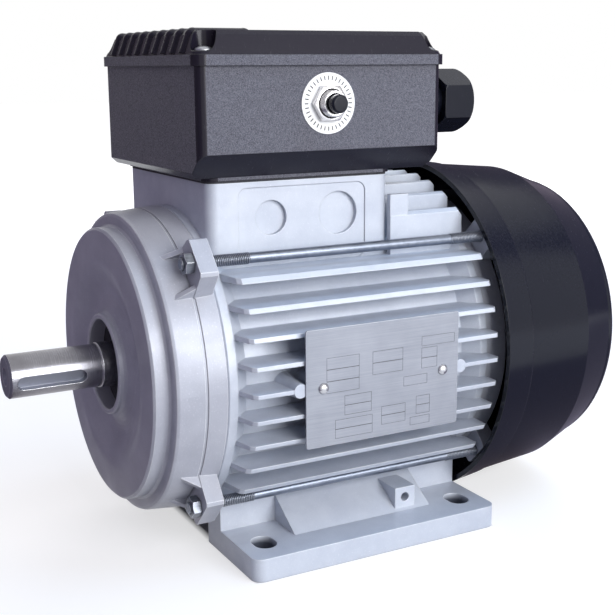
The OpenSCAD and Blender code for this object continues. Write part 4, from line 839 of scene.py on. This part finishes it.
# The thermal breaker is a small case inside the box with a plated threaded bush through the wall.
# A hexagon nut clamps it from outside over a white printed ring, and the button slides in the bush.
BUSH_PITCH = 0.75 * MM
BUSH_ROOT_D = 10.2 * MM
BUSH_D = 11 * MM
BUSH_BORE_D = 7.7 * MM
BUSH_DEPTH = 6 * MM
BORE_FLARE = 0.5 * MM
BORE_FLARE_L = 0.4 * MM
BORE_PAST = 0.1 * MM
BUSH_NUT_AF = 14 * MM
BUSH_NUT_PLAY = 0.2 * MM
BREAKER_Y = -14 * MM
BREAKER_Z = 192.7 * MM
CASE_EDGE = 0.8 * MM
CASE_LAP = 1 * MM
NICKEL_HOLLOW_SHADE = (0.08, 0.07, 0.08)
RUBBED_NICKEL = (0.88, 0.88, 0.89)
face_x = Matrix.Rotation(math.pi / 2, 4, "Y")


def bright_plate(name, dark, light):
    """Bright nickel plate with faint clouds, clean corners and painted shade in its hollows."""
    material, tree, shader = finish_of(name, Metallic=1.0)
    edge_and_hollow = use(tree, edge_wear_and_shade, Radius=0.3 * MM, Reach=1 * MM)
    cloud = noise(tree, surface_place(tree), 500.0, 4.0, 0.6)
    body = tint(tree, spread(tree, cloud, 0.35, 0.7), dark, light)
    # Hollows are darkened as painted shade.
    hollow_shaded = tint(tree, reckon(tree, "MULTIPLY", edge_and_hollow["HollowShade"], 0.8), body, NICKEL_HOLLOW_SHADE)
    wire(tree, shader.inputs["Base Color"], tint(tree, edge_and_hollow["Edge"], hollow_shaded, RUBBED_NICKEL))
    wire(tree, shader.inputs["Roughness"], spread(tree, cloud, 0.3, 0.7, 0.12, 0.24))
    bump(tree, shader, cloud, 0.006 * MM, edge_and_hollow["Normal"])
    return material


def at_breaker(x):
    """Place on the breaker's axis, turned so that Z points out of the wall."""
    return Matrix.Translation((x, BREAKER_Y, BREAKER_Z)) @ face_x


case_low, bush_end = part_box("breaker_body")
nut_inside, nut_outside = (corner[0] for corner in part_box("breaker_nut"))
bush_back = nut_inside - BUSH_DEPTH
bush_l = bush_end[0] - bush_back
bush = threaded_bar("bush", BUSH_PITCH, BUSH_D, BUSH_ROOT_D, bush_l)
bush.data.transform(Matrix.Translation((0, 0, bush_l)) @ Matrix.Rotation(math.pi, 4, "X"))
bore_r = BUSH_BORE_D / 2
bore = turned("bore", [
    (0, 0, -MM), (bore_r, 0, -MM), (bore_r, 0, bush_l - BORE_FLARE_L),
    (bore_r + BORE_FLARE, 0, bush_l + BORE_PAST), (0, 0, bush_l + BORE_PAST),
])
combine(bush, bore, "DIFFERENCE")
clean_mesh(bush)
nickel = bright_plate("bright_nickel", dark=(0.58, 0.57, 0.58), light=(0.70, 0.69, 0.70))
breaker_bush = copies_of(bush, "threaded_bush", [at_breaker(bush_back)])
add_piece(breaker_bush, nickel, "motor_frame", "bright_steel", "breaker_body")

breaker_case = fresh(bpy.ops.mesh.primitive_cube_add, size=1)
breaker_case.name = "breaker_case"
case_high = (bush_back + CASE_LAP, bush_end[1], bush_end[2])
case_size = [high - low for low, high in zip(case_low, case_high)]
case_mid = [(high + low) / 2 for low, high in zip(case_low, case_high)]
breaker_case.data.transform(Matrix.Translation(case_mid) @ Matrix.Diagonal((*case_size, 1)))
case_round = breaker_case.modifiers.new("corners", "BEVEL")
case_round.width = CASE_EDGE
case_round.segments = 3
apply_modifier(breaker_case, case_round)
bpy.ops.object.shade_smooth_by_angle(angle=SMOOTH_BELOW)
case_black = glossy_black("breaker_case_black", 0.4)
add_piece(breaker_case, case_black, "motor_frame", "black_gloss", "breaker_body")

bush_nut = copies_of(
    hex_nut("bush_nut", BUSH_NUT_AF, nut_outside - nut_inside, BUSH_D + BUSH_NUT_PLAY, face_share=0.97),
    "breaker_hex_nut", [at_breaker(nut_inside)],
)
add_piece(bush_nut, nickel, "motor_frame", "bright_steel", "breaker_nut")

ring_finish, ring_tree, ring_shader, ring_cloud = clouded(
    "white_printed_ring", specular=0.4, cloud_size=(700.0, 3.0),
    tones=((0.84, 0.84, 0.82), (0.90, 0.90, 0.89)), tone_span=(0.35, 0.7), rough_span=(0.35, 0.5),
)
bump(ring_tree, ring_shader, ring_cloud, 0.01 * MM)
dress(ring_finish, "breaker_label")
dress(glossy_black("button_black", 0.16), "reset_button")

# The ring carries plain tick marks, printed in black round the nut.
# The ink stands a few hundredths of a millimetre above it.
TICKS = 36
TICK_REACH = 10.3 * MM
TICK_LENGTH = 1.7 * MM
TICK_WIDTH = 0.45 * MM
PRINT_T = 0.04 * MM
print_finish, _, _, _ = clouded(
    "black_print", specular=0.3, cloud_size=(1500.0, 3.0),
    tones=((0.045, 0.045, 0.05), (0.14, 0.14, 0.15)), tone_span=(0.45, 0.8), rough_span=(0.4, 0.6),
)
ticks = fresh(bpy.ops.mesh.primitive_plane_add, size=1)
ticks.data.transform(
    Matrix.Translation((TICK_REACH, 0, 0)) @ Matrix.Diagonal((TICK_LENGTH, TICK_WIDTH, 1, 1))
)
edit_all()
bpy.ops.mesh.extrude_region_move(TRANSFORM_OT_translate={"value": (0, 0, PRINT_T)})
bpy.ops.mesh.select_all(action="SELECT")
bpy.ops.mesh.spin(steps=TICKS, dupli=True, angle=2 * math.pi, center=(0, 0, 0), axis=(0, 0, 1))
leave_edit()
clean_mesh(ticks)
ticks = copies_of(ticks, "label_ticks", [at_breaker(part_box("breaker_label")[1][0])])
add_piece(ticks, print_finish, "motor_frame", "black_matte")

# The cable gland is a glossy black nylon moulding: a hexagon body locked in the box wall,
# and a domed nut that squeezes a rubber ring round the cable.
dress(glossy_black("gland_nylon", 0.20), "gland_body", "gland_nut", "gland_locknut")

# The nameplate is brushed aluminium sheet on two drive rivets.
# It carries ruled empty fields, printed in black.
RULE_W = 0.25 * MM
PLATE_DARK = (0.27, 0.285, 0.325)
PLATE_LIGHT = (0.36, 0.375, 0.42)
RUBBED_PLATE = (0.7, 0.72, 0.76)
plate_finish, plate_tree, plate_shader = finish_of("brushed_plate", Metallic=0.35)
plate_worn = use(plate_tree, edge_wear_and_shade, Radius=0.3 * MM, Reach=1 * MM)
streak = noise(plate_tree, scaled_place(plate_tree, (900.0, 35.0, 5200.0)), 1.0, 3.0, 0.7)
plate_cloud = noise(plate_tree, surface_place(plate_tree), 60.0, 3.0)
plate_mix = weigh(plate_tree, streak, 0.6, plate_cloud, 0.4)
plate_tone = tint(plate_tree, spread(plate_tree, plate_mix, 0.35, 0.65), PLATE_DARK, PLATE_LIGHT)
wire(
    plate_tree, plate_shader.inputs["Base Color"],
    tint(plate_tree, plate_worn["Edge"], plate_tone, RUBBED_PLATE),
)
wire(plate_tree, plate_shader.inputs["Roughness"], spread(plate_tree, streak, 0.3, 0.7, 0.30, 0.44))
bump(plate_tree, plate_shader, streak, 0.008 * MM, plate_worn["Normal"])
dress(plate_finish, "nameplate")
dress(
    plated_steel("rivet_steel", dark=(0.46, 0.46, 0.48), light=(0.62, 0.62, 0.64), rough=0.22),
    "nameplate_rivets",
)

# Ruled fields as (distance from the drive-end edge, distance from the top, width, height, rows), in mm
FIELDS = (
    (9.5, 12.5, 15.5, 15.0, 3),
    (31.5, 12.5, 15.0, 10.0, 2),
    (56.0, 9.0, 17.0, 4.2, 1),
    (56.0, 14.0, 8.0, 9.0, 2),
    (18.0, 29.5, 13.0, 8.4, 2),
    (47.0, 25.5, 12.0, 4.2, 1),
    (13.5, 39.5, 18.0, 8.0, 2),
    (36.0, 37.0, 12.0, 8.0, 2),
    (53.5, 35.0, 7.0, 8.0, 2),
    (50.5, 44.0, 10.0, 3.6, 1),
)
plate_low, plate_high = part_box("nameplate")
stand_up = Matrix(((0, 0, 1), (1, 0, 0), (0, 1, 0))).to_4x4()
ruled = []
for left, top, width, height, rows in FIELDS:
    field = fresh(bpy.ops.mesh.primitive_grid_add, x_subdivisions=1, y_subdivisions=rows, size=1)
    field.data.transform(Matrix.Diagonal((width * MM, height * MM, 1, 1)))
    edit_all()
    bpy.ops.mesh.inset(thickness=RULE_W / 2, use_individual=True, use_boundary=True)
    bpy.ops.mesh.delete(type="FACE")
    bpy.ops.mesh.select_all(action="SELECT")
    bpy.ops.mesh.extrude_region_move(TRANSFORM_OT_translate={"value": (0, 0, PRINT_T)})
    leave_edit()
    clean_mesh(field)
    middle = Vector((
        plate_high[0], plate_low[1] + (left + width / 2) * MM, plate_high[2] - (top + height / 2) * MM,
    ))
    field.data.transform(Matrix.Translation(middle) @ stand_up)
    ruled.append(field)
rules = join_all(ruled, "nameplate_rules")
add_piece(rules, print_finish, "motor_frame", "black_matte")

# The studio: the motor stands on a pale floor in front of a plain white background.
# A broad soft lamp stands low at the nameplate side, a bluish one hangs above, and one lights the far side.
# The camera stands at the nameplate side, a little towards the drive end and just above the box.
IMAGE_PX = 615
FOCAL_PX = 1108.551
SENSOR_MM = 36.0
CAMERA_PLACE = Vector((0.458115, -0.241990, 0.207741))
CAMERA_AZIMUTH = math.radians(61.606)
CAMERA_ELEVATION = math.radians(12.294)
CAMERA_ROLL = math.radians(-0.353)

scene.view_settings.view_transform = "Standard"


def camera_turn(azimuth, elevation, roll):
    """Rotation of a camera that looks back at the motor from an azimuth and elevation, then rolls."""
    back = Vector((
        math.sin(azimuth) * math.cos(elevation),
        -math.cos(azimuth) * math.cos(elevation),
        math.sin(elevation),
    ))
    right = (-back).cross(Vector((0, 0, 1))).normalized()
    up = right.cross(-back)
    rolled_right = math.cos(roll) * right + math.sin(roll) * up
    rolled_up = -math.sin(roll) * right + math.cos(roll) * up
    return Matrix((rolled_right, rolled_up, back)).transposed()


lens = bpy.data.cameras.new("photo_camera")
lens.sensor_width = SENSOR_MM
lens.lens = FOCAL_PX / IMAGE_PX * SENSOR_MM
lens.clip_start = 0.01
lens.clip_end = 50
camera = bpy.data.objects.new("photo_camera", lens)
camera.matrix_world = (
    Matrix.Translation(CAMERA_PLACE)
    @ camera_turn(CAMERA_AZIMUTH, CAMERA_ELEVATION, CAMERA_ROLL).to_4x4()
)
scene.collection.objects.link(camera)
scene.camera = camera

MOTOR_MIDDLE = Vector((0.0, 0.0, 0.11))


def soft_lamp(name, place, width, height, watts, colour, mirrored=True):
    """Area lamp that faces the motor, and shows in glossy surfaces or not."""
    lamp = bpy.data.lights.new(name, "AREA")
    lamp.shape = "RECTANGLE"
    lamp.size = width
    lamp.size_y = height
    lamp.energy = watts
    lamp.color = colour
    holder = bpy.data.objects.new(name, lamp)
    direction = MOTOR_MIDDLE - Vector(place)
    holder.matrix_world = (
        Matrix.Translation(place) @ direction.to_track_quat("-Z", "Y").to_matrix().to_4x4()
    )
    holder.visible_glossy = mirrored
    scene.collection.objects.link(holder)


soft_lamp("window_lamp", (1.42, 0.30, 0.58), 1.1, 0.85, watts=25, colour=(0.97, 0.98, 1.0))
soft_lamp("top_lamp", (0.35, 0.75, 1.40), 1.0, 1.0, watts=14, colour=(0.55, 0.75, 1.0), mirrored=False)
soft_lamp("far_lamp", (-1.20, 0.95, 0.75), 1.1, 0.9, watts=20, colour=(1.0, 0.99, 0.98), mirrored=False)


def white_when_seen(tree):
    """Factor that is 1 for rays from the camera, a reflection or a glass, and 0 for other light."""
    path = place_node(tree, "LightPath").outputs
    mirrored = reckon(tree, "MAXIMUM", path["Is Glossy Ray"], path["Is Transmission Ray"])
    return reckon(tree, "MAXIMUM", path["Is Camera Ray"], mirrored)


def choose_shader(tree, factor, first, second):
    """Shader between two shaders."""
    made = place_node(tree, "MixShader")
    for entry, value in zip(made.inputs, (factor, first.outputs[0], second.outputs[0])):
        wire(tree, entry, value)
    return made.outputs[0]


AMBIENT_COLOUR = (0.92, 0.88, 1.0)
AMBIENT_STRENGTH = 0.25
WHITE = (1, 1, 1)
world = bpy.data.worlds.new("white_background")
scene.world = world
sky = empty_tree(world)
ambient = place_node(sky, "Background", Color=AMBIENT_COLOUR, Strength=AMBIENT_STRENGTH)
backdrop = place_node(sky, "Background", Color=WHITE, Strength=1.0)
place_node(sky, "OutputWorld", Surface=choose_shader(sky, white_when_seen(sky), ambient, backdrop))

# Dark felt lies on the floor before the drive end and round the cowl, and stands upright beyond both.
# The camera doesn't see it, and it is see-through from behind, so the floor under it stays bright.
FELT_COLOUR = (0.25, 0.215, 0.26)
FELT_LIFT = 0.5 * MM
DRIVE_FELT_X = (-2.85, 0.35)
DRIVE_FELT_Y = (-0.42, -0.12)
COWL_FELT_X = (-1.60, 0.20)
COWL_FELT_Y = (0.08, 1.30)
BACK_FELT_X = (-2.60, 0.60)
UPRIGHT_TOP = 1.2
felt = bpy.data.materials.new("dark_felt")
felt_tree = empty_tree(felt)
seen_from_behind = place_node(felt_tree, "NewGeometry").outputs["Backfacing"]
felt_cloth = place_node(felt_tree, "BsdfDiffuse", Color=FELT_COLOUR)
felt_clear = place_node(felt_tree, "BsdfTransparent")
felt_side = choose_shader(felt_tree, seen_from_behind, felt_cloth, felt_clear)
place_node(felt_tree, "OutputMaterial", Surface=felt_side)


def felt_card(name, span_x, place_y, place_z, width, turn):
    """Card of felt that is turned about its long side. It only shades the motor and shows in its gloss."""
    card = fresh(bpy.ops.mesh.primitive_plane_add, size=1)
    card.name = name
    card.data.transform(
        Matrix.Translation((sum(span_x) / 2, place_y, place_z))
        @ Matrix.Rotation(turn, 4, "X")
        @ Matrix.Diagonal((span_x[1] - span_x[0], width, 1, 1))
    )
    card.visible_camera = False
    card.visible_shadow = False
    card.data.materials.append(felt)


def lay_felt(name, span_x, span_y):
    """Card of felt flat on the floor."""
    felt_card(name, span_x, sum(span_y) / 2, FELT_LIFT, span_y[1] - span_y[0], 0.0)


def stand_felt(name, span_x, place_y, turn):
    """Card of felt that stands on the floor."""
    felt_card(name, span_x, place_y, UPRIGHT_TOP / 2, UPRIGHT_TOP, turn)


lay_felt("felt_on_floor", DRIVE_FELT_X, DRIVE_FELT_Y)
stand_felt("felt_upright", DRIVE_FELT_X, DRIVE_FELT_Y[0], -math.pi / 2)
lay_felt("felt_round_cowl", COWL_FELT_X, COWL_FELT_Y)
stand_felt("felt_behind", BACK_FELT_X, COWL_FELT_Y[1], math.pi / 2)

# The floor is matt and pale. It glows towards the camera, more with distance, until it meets the white
# background, and keeps the shadow of the motor. Under the feet it doesn't glow.
FLOOR_SIZE = 12.0
FLOOR_DROP = 0.2 * MM
FLOOR_COLOUR = (0.45, 0.45, 0.46)
FLOOR_LIFT = 0.62
LIFT_NEAR, LIFT_FAR = 0.5, 2.0
FOOT_HALF = (0.0782, 0.0615)
UNDER_FOOT = 4 * MM
floor = fresh(bpy.ops.mesh.primitive_plane_add, size=FLOOR_SIZE, location=(0, 0, -FLOOR_DROP))
floor.name = "floor"
floor_paint = bpy.data.materials.new("pale_floor")
floor_tree = empty_tree(floor_paint)
floor_matt = place_node(floor_tree, "BsdfDiffuse", Color=FLOOR_COLOUR)
far_away = place_node(floor_tree, "VectorMath", {"operation": "LENGTH"})
wire(floor_tree, far_away.inputs[0], surface_place(floor_tree))
lift = spread(floor_tree, far_away.outputs["Value"], LIFT_NEAR, LIFT_FAR, FLOOR_LIFT, 1.0)
floor_place = split(floor_tree, surface_place(floor_tree))
beyond_foot = reckon(
    floor_tree, "MAXIMUM",
    reckon(floor_tree, "SUBTRACT", reckon(floor_tree, "ABSOLUTE", floor_place["X"]), FOOT_HALF[0]),
    reckon(floor_tree, "SUBTRACT", reckon(floor_tree, "ABSOLUTE", floor_place["Y"]), FOOT_HALF[1]),
)
open_floor = spread(floor_tree, beyond_foot, -UNDER_FOOT, 0.0)
glow = reckon(floor_tree, "MULTIPLY", lift, open_floor)
floor_glow = place_node(
    floor_tree, "Emission", Color=WHITE,
    Strength=reckon(floor_tree, "MULTIPLY", white_when_seen(floor_tree), glow),
)
floor_sum = place_node(floor_tree, "AddShader")
wire(floor_tree, floor_sum.inputs[0], floor_matt.outputs[0])
wire(floor_tree, floor_sum.inputs[1], floor_glow.outputs[0])
place_node(floor_tree, "OutputMaterial", Surface=floor_sum.outputs[0])
floor.data.materials.append(floor_paint)
